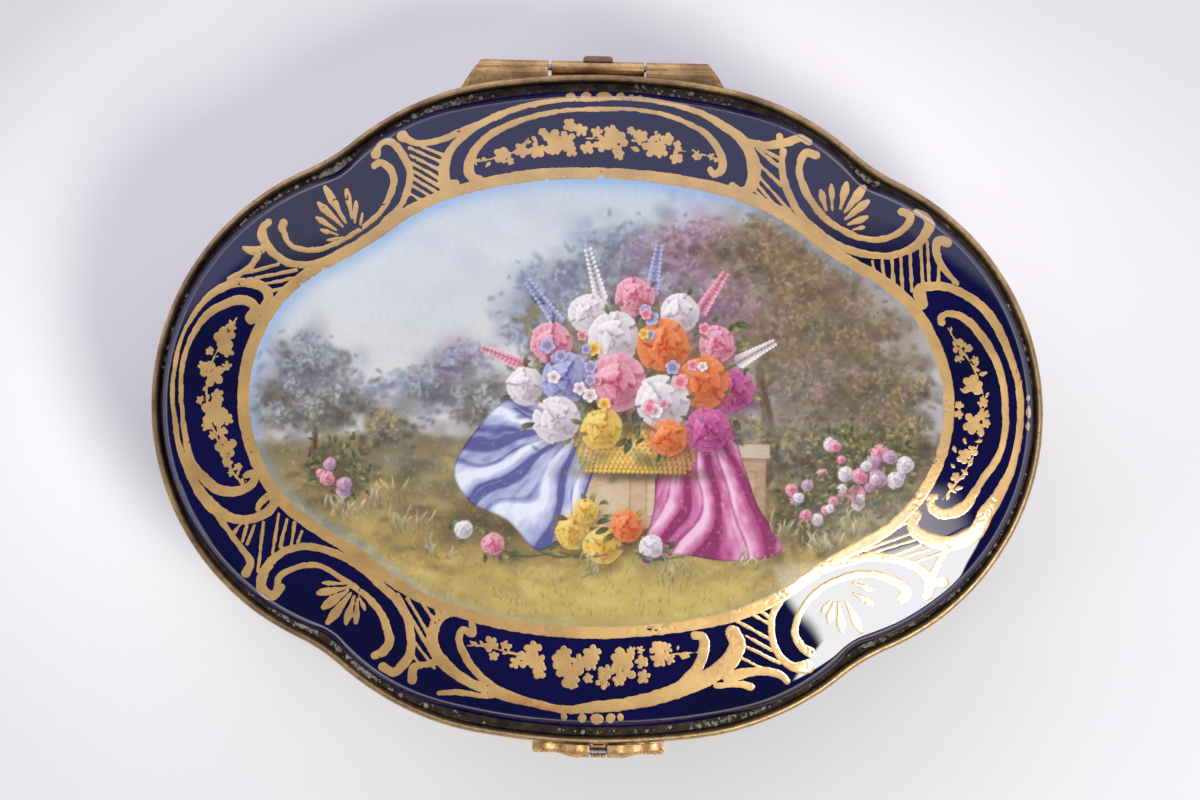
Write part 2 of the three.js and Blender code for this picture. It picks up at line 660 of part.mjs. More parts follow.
const base = new THREE.Group().add(
  baseBowl(),
  plaster("base_plaster", PLASTER_BOTTOM, MOUTH_HEIGHT),
  baseCollar(),
  baseLip(),
  ...baseHingeSide(),
  stopTab(),
  hingePin(),
  catchPlate(),
  catchPost(),
);
const lid = new THREE.Group().add(
  lidDome(),
  plaster("lid_plaster", LID_EDGE - SEAT_GAP + FILM, PLASTER_TOP),
  lidCollar(),
  ...lidHingeSide("left", -1),
  ...lidHingeSide("right", 1),
  claspWing("clasp_left_wing", -1),
  claspWing("clasp_right_wing", 1),
  haspPin(),
);
const box = new THREE.Group().add(base, lid, hasp());

export default box;
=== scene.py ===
"""Looks of a porcelain jewelry box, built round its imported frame.

Shapes are worked out in millimetres, in the frame's axes, and turned into metres when a mesh is made.
"""

import json

import bpy
import numpy as np
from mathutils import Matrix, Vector


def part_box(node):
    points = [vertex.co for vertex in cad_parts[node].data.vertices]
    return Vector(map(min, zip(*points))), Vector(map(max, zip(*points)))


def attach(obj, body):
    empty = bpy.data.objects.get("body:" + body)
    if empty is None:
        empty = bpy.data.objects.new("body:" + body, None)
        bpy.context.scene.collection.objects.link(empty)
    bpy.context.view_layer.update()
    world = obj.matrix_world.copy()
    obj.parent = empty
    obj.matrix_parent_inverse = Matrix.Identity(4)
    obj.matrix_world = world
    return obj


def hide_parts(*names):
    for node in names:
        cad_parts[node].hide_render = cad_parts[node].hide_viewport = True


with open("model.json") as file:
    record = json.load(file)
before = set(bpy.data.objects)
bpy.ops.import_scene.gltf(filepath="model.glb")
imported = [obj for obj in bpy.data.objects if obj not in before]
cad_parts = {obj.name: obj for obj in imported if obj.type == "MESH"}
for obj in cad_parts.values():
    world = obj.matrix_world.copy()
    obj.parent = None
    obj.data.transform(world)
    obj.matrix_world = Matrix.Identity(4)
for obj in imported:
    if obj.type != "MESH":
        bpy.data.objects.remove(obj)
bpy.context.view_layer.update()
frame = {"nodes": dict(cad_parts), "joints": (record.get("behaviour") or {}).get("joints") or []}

MM = 0.001


def box_mm(node):
    low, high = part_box(node)
    return np.array(low) / MM, np.array(high) / MM


def joint_place(name):
    found = [joint for joint in frame["joints"] if joint["name"] == name]
    return np.array(found[0]["pos_m"]) / MM


# Sizes from the frame
COLLAR_HALF_LENGTH, COLLAR_HALF_DEPTH, RIM_HEIGHT = box_mm("lid_collar")[1]
PORCELAIN_HALF_LENGTH, PORCELAIN_HALF_DEPTH, LID_TOP = box_mm("lid_dome")[1]
LID_EDGE = box_mm("lid_dome")[0][2]
MOUTH_HEIGHT = box_mm("base_bowl")[1][2]
SEAM_HEIGHT = box_mm("base_collar")[1][2]
BASE_COLLAR_BOTTOM = box_mm("base_collar")[0][2]
LID_COLLAR_BOTTOM = box_mm("lid_collar")[0][2]
HINGE_X, HINGE_Y, HINGE_Z = joint_place("lid_hinge")
HASP_X, HASP_Y, HASP_Z = joint_place("hasp_swing")
COLLAR_FRONT = -COLLAR_HALF_DEPTH

# The porcelain
SHOULDER_START = 43.5
SHOULDER_WIDTH = 4.2
SHOULDER_HEIGHT = 4
SHOULDER_STEEPNESS = 3.8  # rise per millimetre, up to the tight bend near the edge
BEND_HEIGHT = 3.7
BEND_BLEND = 0.6
ENAMEL_ROOM = 0.2  # the glaze stays this far below the frame's top, for the enamel on it
CROWN_HEIGHT = LID_TOP - SHOULDER_START - SHOULDER_HEIGHT - ENAMEL_ROOM
LID_WALL_LEAN = 0.5
TOP_INSET = 12
CEILING_DROP = 2.4
PORCELAIN_WALL = 2.6
FOOT_INSET = 10
FOOT_WIDTH = 3
FOOT_HEIGHT = 2
FLOOR_HEIGHT = 5
WIDEST_SHARE = 0.7
BULGE_POWER = 2.2

# The collars
COLLAR_THICKNESS = 1.2
LID_FLANGE_INSET = 2.9
LIP_OUTSIDE = 3.3
FLANGE_THICKNESS = 0.9
FILM = 0.1


def smooth(t):
    return t * t * (3 - 2 * t)


def noise(x, y, cell, seed):
    """Smooth noise from -1 to 1, with features as large as the cell."""
    table_size = 256
    table = np.random.default_rng(seed).uniform(-1, 1, (table_size, table_size))
    u, v = np.asarray(x) / cell, np.asarray(y) / cell
    i, j = np.floor(u).astype(int), np.floor(v).astype(int)
    fu, fv = smooth(u - i), smooth(v - j)
    i0, i1 = i % table_size, (i + 1) % table_size
    j0, j1 = j % table_size, (j + 1) % table_size
    low = table[j0, i0] * (1 - fu) + table[j0, i1] * fu
    high = table[j1, i0] * (1 - fu) + table[j1, i1] * fu
    return low * (1 - fv) + high * fv


def layered_noise(x, y, cell, seed, layers=3):
    return sum(noise(x, y, cell / 2**k, seed + k) / 2**k for k in range(layers)) / 1.6


class Outline:
    """A lobed oval of four tangent arcs a quarter: end, hollow waist, shoulder and long side."""

    ARC_STEPS = (72, 24, 46, 34)

    def __init__(self, half_length, half_depth, end, long, shoulder, shoulder_start, waist):
        turn = np.radians(shoulder_start)
        end_centre = np.array([half_length - end, 0.0])
        long_centre = np.array([0.0, half_depth - long])
        shoulder_centre = long_centre + (long - shoulder) * np.array([np.cos(turn), np.sin(turn)])
        across = end_centre - shoulder_centre
        gap = np.hypot(*across)
        along = ((shoulder + waist) ** 2 - (end + waist) ** 2 + gap**2) / (2 * gap)
        away = np.sqrt((shoulder + waist) ** 2 - along**2)
        across = across / gap
        waist_centre = shoulder_centre + across * along + np.array([-across[1], across[0]]) * away
        waist_end = np.arctan2(*(waist_centre - shoulder_centre)[::-1])
        waist_start = np.arctan2(*(waist_centre - end_centre)[::-1])
        self.arcs = [
            (end_centre, end, 0.0, waist_start),
            (waist_centre, -waist, waist_start, waist_end),
            (shoulder_centre, shoulder, waist_end, turn),
            (long_centre, long, turn, np.pi / 2),
        ]
        self.at, self.normal = self.trace(half_depth)

    def trace(self, half_depth):
        """Points and outward normals all the way round, counter-clockwise from +X."""
        at, normal = [], []
        for (centre, radius, start, end), steps in zip(self.arcs, self.ARC_STEPS):
            turns = start + (end - start) * np.arange(steps) / steps
            unit = np.stack([np.cos(turns), np.sin(turns)], 1)
            at.append(centre + radius * unit)
            normal.append(unit)
        at = np.concatenate(at + [[[0, half_depth]]])
        normal = np.concatenate(normal + [[[0, 1]]])
        whole = []
        for quarter in (at, normal):
            back = quarter[::-1][1:] * [-1, 1]
            left = quarter[1:] * [-1, -1]
            front = quarter[::-1][1:-1] * [1, -1]
            whole.append(np.concatenate([quarter, back, left, front]))
        return whole

    def inset(self, x, y):
        """How far points lie inside the outline, where that is less than about 25 mm."""
        x, y = np.abs(x), np.abs(y)
        best = np.full(np.shape(x), 99.0)
        for centre, radius, start, end in self.arcs:
            dx, dy = (x - centre[0]) * np.sign(radius), (y - centre[1]) * np.sign(radius)
            turn = np.arctan2(dy, dx)
            inside = radius - np.sign(radius) * np.hypot(dx, dy)
            held = (turn >= min(start, end) - 1e-9) & (turn <= max(start, end) + 1e-9)
            best = np.where(held & (np.abs(inside) < np.abs(best)), inside, best)
        return best

    def ring(self, inset, height, shrink=1):
        """The outline moved inwards, then shrunk towards the middle, at a height."""
        flat = (self.at - self.normal * np.reshape(inset, (-1, 1))) * shrink
        if callable(height):
            height = height(flat[:, 0], flat[:, 1], inset)
        return np.column_stack([flat, np.broadcast_to(height, len(flat))])


collar = Outline(COLLAR_HALF_LENGTH, COLLAR_HALF_DEPTH, 37.5, 103.4, 41, 80.8, 27.2)
porcelain = Outline(PORCELAIN_HALF_LENGTH, PORCELAIN_HALF_DEPTH, 34.95, 92.9, 31.1, 76.4, 8.4)


def lid_height(x, y, inset=None):
    """Top of the glaze on the lid, with the slight unevenness of thrown porcelain."""
    if inset is None:
        inset = porcelain.inset(x, y)
    roll = np.clip(inset / SHOULDER_WIDTH, 0, 1)
    wall = SHOULDER_STEEPNESS * inset
    reach = 1 - (x / PORCELAIN_HALF_LENGTH) ** 2 - (y / PORCELAIN_HALF_DEPTH) ** 2
    crown = CROWN_HEIGHT * np.maximum(0, reach)
    uneven = 0.04 * noise(x, y, 17, 3) + 0.012 * noise(x, y, 5, 4)
    top = BEND_HEIGHT + (SHOULDER_HEIGHT - BEND_HEIGHT) * (1 - (1 - roll) ** 2) + crown + uneven
    share = np.clip(0.5 + 0.5 * (top - wall) / BEND_BLEND, 0, 1)
    return SHOULDER_START + top * (1 - share) + wall * share - BEND_BLEND * share * (1 - share)


# Meshes: points in millimetres, and a list of arrays of faces
def joined(parts):
    """Several meshes as one."""
    points, faces, start = [], [], 0
    for part_points, part_faces in parts:
        points.append(part_points)
        faces += [f + start for f in part_faces]
        start += len(part_points)
    return np.concatenate(points), faces


def skin(rings, ends=None):
    """A surface through rings; with no end points, the last ring joins the first."""
    count = len(rings[0])
    points = [np.concatenate(rings)]
    here = np.arange(count)
    after = (here + 1) % count
    faces = []
    for r in range(len(rings) if ends is None else len(rings) - 1):
        near, far = r * count, (r + 1) % len(rings) * count
        faces.append(np.stack([near + here, near + after, far + after, far + here], 1))
    if ends is not None:
        points.append(np.array(ends, float))
        first, last = len(rings) * count, (len(rings) - 1) * count
        faces.append(np.stack([np.full(count, first), after, here], 1))
        faces.append(np.stack([np.full(count, first + 1), last + here, last + after], 1))
    return np.concatenate(points), faces


def add_mesh(name, shape, material, sharp_angle=40, colours=None):
    points, faces = shape
    mesh = bpy.data.meshes.new(name)
    mesh.from_pydata((points * MM).tolist(), [], [face for f in faces for face in f.tolist()])
    mesh.polygons.foreach_set("use_smooth", np.ones(len(mesh.polygons), bool))
    mesh.set_sharp_from_angle(angle=np.radians(sharp_angle))
    if colours is not None:
        layer = mesh.color_attributes.new("paint", "FLOAT_COLOR", "POINT")
        rgba = np.column_stack([colours, np.ones(len(colours))])
        layer.data.foreach_set("color", rgba.astype(np.float32).ravel())
    mesh.materials.append(material)
    mesh.update()
    made = bpy.data.objects.new(name, mesh)
    bpy.context.scene.collection.objects.link(made)
    return made


def place(made, body, slot, *nodes):
    """The piece rides on a body and stands for the nodes; the slot is not used."""
    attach(made, body)
    if nodes:
        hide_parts(*nodes)
    return made


# Materials
WORN_PLACE = (-0.0076, -0.0433, 0.0485)  # where hands have worn the gold at the front


class Finish:
    """A material, with short names for the nodes that it uses."""

    def __init__(self, name, colour, **settings):
        self.material = bpy.data.materials.new(name)
        self.material.use_nodes = True
        self.tree = self.material.node_tree
        self.shader = self.tree.nodes["Principled BSDF"]
        self.shader.inputs["Base Color"].default_value = (*colour, 1)
        for key, value in settings.items():
            self.shader.inputs[key.replace("_", " ").title()].default_value = value

    def link(self, output, socket):
        if isinstance(output, bpy.types.NodeSocket):
            self.tree.links.new(output, socket)
        else:
            socket.default_value = output

    def noise(self, size, detail=3, stretch=(1, 1, 1), roughness=0.55, distortion=0.0):
        """Noise from 0 to 1, with features as large as the size in millimetres."""
        place_node = self.tree.nodes.new("ShaderNodeTexCoord")
        mapping = self.tree.nodes.new("ShaderNodeMapping")
        mapping.inputs["Scale"].default_value = [1 / (s * size * MM) for s in stretch]
        texture = self.tree.nodes.new("ShaderNodeTexNoise")
        texture.inputs["Scale"].default_value = 1
        texture.inputs["Detail"].default_value = detail
        texture.inputs["Roughness"].default_value = roughness
        texture.inputs["Distortion"].default_value = distortion
        self.tree.links.new(place_node.outputs["Object"], mapping.inputs["Vector"])
        self.tree.links.new(mapping.outputs["Vector"], texture.inputs["Vector"])
        return texture.outputs["Fac"]

    def level(self, value, start, end, low=0.0, high=1.0):
        """A value stretched from start...end to low...high."""
        node = self.tree.nodes.new("ShaderNodeMapRange")
        self.link(value, node.inputs["Value"])
        node.inputs["From Min"].default_value = start
        node.inputs["From Max"].default_value = end
        node.inputs["To Min"].default_value = low
        node.inputs["To Max"].default_value = high
        return node.outputs["Result"]

    def mix(self, share, first, second):
        """A blend of two colours."""
        node = self.tree.nodes.new("ShaderNodeMix")
        node.data_type = "RGBA"
        self.link(share, node.inputs[0])
        for value, socket in ((first, node.inputs[6]), (second, node.inputs[7])):
            self.link(value if isinstance(value, bpy.types.NodeSocket) else (*value, 1), socket)
        return node.outputs[2]

    def math(self, operation, first, second):
        node = self.tree.nodes.new("ShaderNodeMath")
        node.operation = operation
        self.link(first, node.inputs[0])
        self.link(second, node.inputs[1])
        return node.outputs[0]

    def distance(self, place_at):
        """Metres from a place in the object's frame."""
        return self.vector_math("DISTANCE", place_at)

    def along(self, direction):
        """Metres along a direction from the frame's origin."""
        return self.vector_math("DOT_PRODUCT", direction)

    def vector_math(self, operation, vector):
        place_node = self.tree.nodes.new("ShaderNodeTexCoord")
        node = self.tree.nodes.new("ShaderNodeVectorMath")
        node.operation = operation
        self.tree.links.new(place_node.outputs["Object"], node.inputs[0])
        node.inputs[1].default_value = vector
        return node.outputs["Value"]

    def colour(self, output):
        self.link(output, self.shader.inputs["Base Color"])

    def gloss(self, output):
        self.link(output, self.shader.inputs["Roughness"])

    def bump(self, height, depth, strength=1.0):
        """Relief of a depth in millimetres, on top of any relief made before."""
        node = self.tree.nodes.new("ShaderNodeBump")
        node.inputs["Strength"].default_value = strength
        node.inputs["Distance"].default_value = depth * MM
        self.link(height, node.inputs["Height"])
        socket = self.shader.inputs["Normal"]
        if socket.is_linked:
            self.link(socket.links[0].from_socket, node.inputs["Normal"])
        self.link(node.outputs["Normal"], socket)


def cobalt_glaze(name, dull_height=None):
    """Deep blue under a clear glaze; below the dull height handling and grime have dulled it."""
    finish = Finish(name, (0.002, 0.002, 0.04), roughness=0.5, coat_weight=1.0, coat_roughness=0.015)
    if dull_height:
        glossy = finish.level(finish.along((0, 0, 1)), dull_height * MM, (dull_height + 0.3) * MM, 0.26, 1)
        finish.link(glossy, finish.shader.inputs["Coat Weight"])
    finish.shader.inputs["Specular IOR Level"].default_value = 0
    tone = finish.level(finish.noise(26, 2), 0.35, 0.65)
    depth = finish.mix(tone, (0.0008, 0.0014, 0.024), (0.0022, 0.0018, 0.05))
    bloom = finish.level(finish.noise(4, 4), 0.6, 0.8, 0, 0.3)
    violet = finish.mix(bloom, depth, (0.006, 0.002, 0.04))
    dust = finish.level(finish.noise(0.5, 1), 0.8, 0.86, 0, 0.35)
    finish.colour(finish.mix(dust, violet, (0.05, 0.06, 0.14)))
    finish.bump(finish.noise(2.2, 2), 0.008, 0.5)
    return finish.material


def white_glaze():
    finish = Finish("white_glaze", (0.78, 0.77, 0.74), roughness=0.25, coat_weight=1.0, coat_roughness=0.03)
    tone = finish.level(finish.noise(14, 3), 0.35, 0.7)
    pale = finish.mix(tone, (0.8, 0.79, 0.76), (0.7, 0.7, 0.68))
    speck = finish.level(finish.noise(0.7, 1), 0.79, 0.83, 0, 0.7)
    finish.colour(finish.mix(speck, pale, (0.2, 0.15, 0.1)))
    finish.bump(finish.noise(3, 2), 0.015, 0.5)
    return finish.material


def bare_porcelain():
    finish = Finish("bare_porcelain", (0.66, 0.63, 0.57), roughness=0.75)
    grime = finish.level(finish.noise(3, 5), 0.42, 0.68)
    finish.colour(finish.mix(grime, (0.68, 0.65, 0.59), (0.42, 0.36, 0.28)))
    finish.bump(finish.noise(0.3, 4), 0.02)
    return finish.material


def gilding():
    finish = Finish("gilding", (0.72, 0.46, 0.22), metallic=0.32, roughness=0.36, coat_weight=1.0, coat_roughness=0.06)
    tone = finish.level(finish.noise(7, 4), 0.35, 0.68)
    gold = finish.mix(tone, (0.6, 0.375, 0.13), (0.4, 0.24, 0.08))
    rub = finish.level(finish.noise(0.8, 5, roughness=0.7), 0.58, 0.72, 0, 0.5)
    rubbed = finish.mix(rub, gold, (0.46, 0.24, 0.1))
    scratch = finish.level(finish.noise(0.35, 3, stretch=(5, 0.5, 1)), 0.66, 0.74, 0, 0.35)
    scratched = finish.mix(scratch, rubbed, (0.3, 0.16, 0.08))
    worn = finish.level(finish.distance(WORN_PLACE), 0.002, 0.0055, 0.75, 0)
    patchy = finish.math("MULTIPLY", worn, finish.level(finish.noise(1.6, 3), 0.35, 0.6))
    finish.colour(finish.mix(patchy, scratched, (0.42, 0.15, 0.045)))
    finish.gloss(finish.level(finish.noise(0.6, 4), 0.3, 0.7, 0.3, 0.5))
    finish.bump(finish.noise(0.22, 4), 0.012, 0.6)
    finish.bump(finish.noise(1.3, 2), 0.02, 0.5)
    return finish.material


def painted_enamel():
    """Enamel colours from the mesh, with the brush's stipple and a clear glaze."""
    finish = Finish("painted_enamel", (0.6, 0.55, 0.45), roughness=0.45, coat_weight=0.25, coat_roughness=0.04)
    finish.shader.inputs["Specular IOR Level"].default_value = 0.1
    paint = finish.tree.nodes.new("ShaderNodeVertexColor")
    paint.layer_name = "paint"
    stipple = finish.level(finish.noise(0.5, 4, roughness=0.7), 0.45, 0.75, 0.0, 0.12)
    stained = finish.mix(stipple, paint.outputs["Color"], (0.2, 0.13, 0.1))
    light = finish.level(finish.noise(0.8, 3), 0.58, 0.78, 0, 0.18)
    finish.colour(finish.mix(light, stained, (0.84, 0.8, 0.74)))
    finish.bump(finish.noise(0.5, 3), 0.008, 0.5)
    return finish.material


def collar_brass(name, bright, dull, grime_share):
    """Aged brass with brown grime in patches and fine file marks; painted light makes it lighter towards the front
    right, the side the window lamp lights.
    """
    finish = Finish(name, bright, metallic=0.9, roughness=0.38)
    tone = finish.level(finish.noise(5, 5), 0.38, 0.64)
    body = finish.mix(tone, bright, dull)
    # Painted light: the brass is blended lighter towards the front right, where the window lamp falls, and stays
    # darker to the back left.
    painted_light_front_right = finish.level(finish.along((0.5, -0.86, 0)), -0.01, 0.05, 0, 0.65)
    body = finish.mix(painted_light_front_right, body, (0.62, 0.43, 0.2))
    grime = finish.level(finish.noise(0.9, 5, roughness=0.7), 0.52, 0.7, 0, grime_share)
    grimy = finish.mix(grime, body, (0.07, 0.045, 0.025))
    grains = finish.level(finish.noise(0.2, 2), 0.5, 0.75, 0, 0.55)
    finish.colour(finish.mix(grains, grimy, (0.1, 0.06, 0.035)))
    finish.gloss(finish.level(finish.noise(0.7, 4), 0.3, 0.7, 0.3, 0.55))
    finish.bump(finish.noise(0.25, 3, stretch=(3, 3, 1)), 0.02, 0.7)
    finish.bump(finish.noise(1.6, 3), 0.05, 0.6)
    return finish.material


def clasp_gilt():
    finish = Finish("clasp_gilt", (0.86, 0.57, 0.24), metallic=0.85, roughness=0.36)
    tone = finish.level(finish.noise(1.5, 4), 0.4, 0.66)
    gold = finish.mix(tone, (0.68, 0.44, 0.19), (0.42, 0.24, 0.09))
    grime = finish.level(finish.noise(0.4, 4), 0.6, 0.72, 0, 0.6)
    finish.colour(finish.mix(grime, gold, (0.2, 0.1, 0.04)))
    finish.gloss(finish.level(finish.noise(0.5, 3), 0.3, 0.7, 0.34, 0.58))
    finish.bump(finish.noise(0.45, 3), 0.05, 0.7)
    return finish.material


def old_plaster():
    finish = Finish("old_plaster", (0.2, 0.17, 0.12), roughness=0.9)
    grime = finish.level(finish.noise(2.5, 5, roughness=0.7), 0.35, 0.6)
    dirty = finish.mix(grime, (0.075, 0.052, 0.03), (0.012, 0.008, 0.005))
    crumb = finish.level(finish.noise(0.5, 4, roughness=0.65), 0.58, 0.66)
    patch = finish.level(finish.noise(9, 3), 0.5, 0.62)
    spread = finish.math("MULTIPLY", crumb, patch)
    finish.colour(finish.mix(spread, dirty, (0.4, 0.35, 0.26)))
    finish.bump(finish.noise(0.35, 5), 0.15)
    return finish.material


def pale_crumb():
    finish = Finish("pale_crumb", (0.4, 0.37, 0.28), roughness=0.85)
    tone = finish.level(finish.noise(0.8, 4), 0.35, 0.65)
    finish.colour(finish.mix(tone, (0.45, 0.42, 0.33), (0.14, 0.12, 0.08)))
    finish.bump(finish.noise(0.15, 4), 0.05)
    return finish.material


def dull_steel():
    finish = Finish("dull_steel", (0.34, 0.36, 0.38), metallic=0.9, roughness=0.42)
    tone = finish.level(finish.noise(0.7, 4), 0.35, 0.65)
    finish.colour(finish.mix(tone, (0.42, 0.45, 0.48), (0.16, 0.17, 0.2)))
    finish.gloss(finish.level(finish.noise(0.4, 3), 0.3, 0.7, 0.3, 0.5))
    finish.bump(finish.noise(0.3, 4), 0.02)
    return finish.material


def studio_floor():
    """A pale table top with painted light and shade: painted shade makes it darker and cooler away to the back left,
    and a painted fill makes it lighter close round the box, where the box shades it.
    """
    finish = Finish("studio_floor", (0.8, 0.79, 0.83), roughness=0.85)
    # Painted shade: darker and cooler towards the back left, away from the window lamp.
    painted_shade_ramp = finish.level(finish.along((0.465, -0.94, 0)), -0.08, 0.08)
    far = finish.mix(painted_shade_ramp, (0.65, 0.66, 0.665), (0.85, 0.845, 0.83))
    # Painted fill light near the box, strongest on its left, where the box shades the table from the window lamp.
    across = finish.level(finish.along((1, -0.2, 0)), -0.02, 0.055)
    painted_fill_tone = finish.mix(across, (1, 0.995, 0.975), (0.89, 0.885, 0.87))
    # How much of the painted fill shows: all of it within 58 mm of the box's middle, none beyond 88 mm.
    near = finish.level(finish.distance((0, 0, 0)), 0.058, 0.088, 1, 0)
    lit = finish.mix(near, far, painted_fill_tone)
    cloud = finish.level(finish.noise(60, 2), 0.3, 0.7, 0, 0.08)
    finish.colour(finish.mix(cloud, lit, (0.72, 0.72, 0.74)))
    finish.bump(finish.noise(0.6, 3), 0.01, 0.4)
    return finish.material


COBALT = cobalt_glaze("cobalt_glaze")
LID_COBALT = cobalt_glaze("lid_cobalt_glaze", SHOULDER_START + 0.9 * BEND_HEIGHT)
WHITE = white_glaze()
BISQUE = bare_porcelain()
GOLD = gilding()
PAINT = painted_enamel()
LID_BRASS = collar_brass("rim_brass", (0.45, 0.295, 0.145), (0.21, 0.13, 0.07), 0.6)
BASE_BRASS = collar_brass("base_brass", (0.55, 0.36, 0.17), (0.3, 0.18, 0.08), 0.4)
HINGE_BRASS = collar_brass("hinge_brass", (0.53, 0.34, 0.155), (0.27, 0.165, 0.075), 0.5)
STOP_BRASS = collar_brass("stop_brass", (0.38, 0.21, 0.15), (0.24, 0.13, 0.09), 0.3)
CLASP = clasp_gilt()
PLASTER = old_plaster()
CRUMB = pale_crumb()
STEEL = dull_steel()


# Porcelain lid: wall, rolled shoulder and crowned top outside, a lower ceiling inside
def lid_body():
    shrinks = np.linspace(1, 0, 22)[1:-1]
    roll_insets = SHOULDER_WIDTH * np.linspace(0, 1, 60) ** 1.25
    flats = np.linspace(SHOULDER_WIDTH, TOP_INSET, 11)[1:]
    outside = [
        porcelain.ring(PORCELAIN_WALL, LID_EDGE + 0.1),
        porcelain.ring(LID_WALL_LEAN + 0.4, LID_EDGE),
        porcelain.ring(LID_WALL_LEAN, LID_EDGE + 0.3),
    ]
    outside += [porcelain.ring(inset, lid_height) for inset in roll_insets]
    outside += [porcelain.ring(inset, lid_height) for inset in flats]
    outside += [porcelain.ring(TOP_INSET, lid_height, shrink) for shrink in shrinks]

    def ceiling(x, y, inset):
        return lid_height(x, y, inset - PORCELAIN_WALL) - CEILING_DROP

    inner_insets = PORCELAIN_WALL + roll_insets[::8]
    inside = [porcelain.ring(inset, ceiling) for inset in inner_insets]
    inside += [porcelain.ring(TOP_INSET, ceiling, shrink) for shrink in shrinks[::3]]
    top = lid_height(np.zeros(1), np.zeros(1))[0]
    shape = skin(inside[::-1] + outside, [[0, 0, top - CEILING_DROP], [0, 0, top]])
    lid = add_mesh("lid_porcelain", shape, LID_COBALT)
    place(lid, "lid", "porcelain", "lid_dome")
    skin_rings = [porcelain.ring(PORCELAIN_WALL, LID_EDGE + 0.2)]
    skin_rings += inside
    lowered = [ring - [0, 0, 0.06] for ring in inside]
    lowered[0] = porcelain.ring(PORCELAIN_WALL + 0.06, lambda x, y, inset: ceiling(x, y, inset))
    shape = skin(
        lowered[::-1] + [porcelain.ring(PORCELAIN_WALL + 0.06, LID_EDGE + 0.2)] + skin_rings,
        [[0, 0, top - CEILING_DROP - 0.06], [0, 0, top - CEILING_DROP]],
    )
    ceiling_glaze = add_mesh("lid_white_glaze", shape, WHITE)
    place(ceiling_glaze, "lid", "white_glaze")


def bulge(share):
    """How far the bowl's wall lies in from the outline, at a share of its height."""
    below = (FOOT_INSET - 1) * np.maximum(0, 1 - share / WIDEST_SHARE) ** BULGE_POWER
    above = 0.3 * (np.maximum(0, share - WIDEST_SHARE) / (1 - WIDEST_SHARE)) ** 2
    return below + above


def wall_height(share):
    return FOOT_HEIGHT + share * (MOUTH_HEIGHT - FOOT_HEIGHT)


def bowl_body():
    shares = np.linspace(0, 1, 40)
    inner_shares = np.linspace(0.16, 1, 24)[::-1]
    outside = [
        porcelain.ring(FOOT_INSET + FOOT_WIDTH, FOOT_HEIGHT),
        porcelain.ring(FOOT_INSET + FOOT_WIDTH - 0.4, 0.5),
        porcelain.ring(FOOT_INSET + FOOT_WIDTH - 1, 0),
        porcelain.ring(FOOT_INSET + 0.8, 0),
        porcelain.ring(FOOT_INSET + 0.2, 0.5),
        porcelain.ring(FOOT_INSET, FOOT_HEIGHT - 0.5),
    ]
    outside += [porcelain.ring(bulge(share), wall_height(share)) for share in shares[:-1]]
    mouth = [
        porcelain.ring(bulge(1), MOUTH_HEIGHT - 0.3),
        porcelain.ring(bulge(1) + 0.3, MOUTH_HEIGHT),
        porcelain.ring(bulge(1) + PORCELAIN_WALL - 0.4, MOUTH_HEIGHT),
    ]
    inside = [porcelain.ring(bulge(s) + PORCELAIN_WALL, wall_height(s)) for s in inner_shares]
    fillet = bulge(inner_shares[-1]) + PORCELAIN_WALL
    low = wall_height(inner_shares[-1])
    for turn in np.linspace(0, 1, 6)[1:]:
        inset = fillet + 2.6 * turn**1.6
        height = FLOOR_HEIGHT + (low - FLOOR_HEIGHT) * (1 - turn) ** 2
        inside.append(porcelain.ring(inset, height))
    last = inset
    inside += [porcelain.ring(last, FLOOR_HEIGHT, s) for s in np.linspace(1, 0, 12)[1:-1]]
    under = [[0, 0, FOOT_HEIGHT], [0, 0, FLOOR_HEIGHT]]
    under_rings = [porcelain.ring(FOOT_INSET + FOOT_WIDTH, FOOT_HEIGHT, s) for s in (0.3, 0.6, 0.85)]
    bowl = add_mesh("bowl_porcelain", skin(under_rings + outside + mouth + inside, under), COBALT)
    place(bowl, "base", "porcelain", "base_bowl")
    paint_foot(bowl)
    proud = [ring + [0, 0, 0] for ring in inside]
    for k, ring in enumerate(proud):
        share = min(1, k / len(inner_shares))
        ring[:, :2] *= 1 - 0.0014 * (1 - share)
        ring[:, 2] += 0.06 * share
    glaze = add_mesh("bowl_white_glaze", skin(inside[::-1] + proud, [[0, 0, FLOOR_HEIGHT], [0, 0, FLOOR_HEIGHT + 0.06]]), WHITE)
    place(glaze, "base", "white_glaze")


def paint_foot(bowl):
    """The foot ring is unglazed where it stands."""
    bowl.data.materials.append(BISQUE)
    for face in bowl.data.polygons:
        if face.center.z < 0.9 * MM:
            face.material_index = 1


# Brass collars: rolled rims on thin walls, each with a flange on the porcelain's side
def hand_made(outline, ring, amount, seed):
    """A ring with the small dents of hand work."""
    away = amount * layered_noise(ring[:, 0], ring[:, 1], 9, seed)
    return ring + np.column_stack([outline.normal * away[:, None], away * 0.6])


def collar_shape(outline_profile, seed):
    rings = [
        hand_made(outline, outline.ring(inset, height), 0.05, seed) for outline, inset, height in outline_profile
    ]
    return skin(rings)


def arc_profile(outline, centre_inset, centre_height, radius, start, end, steps):
    """Profile points round an arc, from one angle to another; 0 points outwards and 90 up."""
    turns = np.radians(np.linspace(start, end, steps))
    return [
        (outline, centre_inset - radius * np.cos(t), centre_height + radius * np.sin(t)) for t in turns
    ]


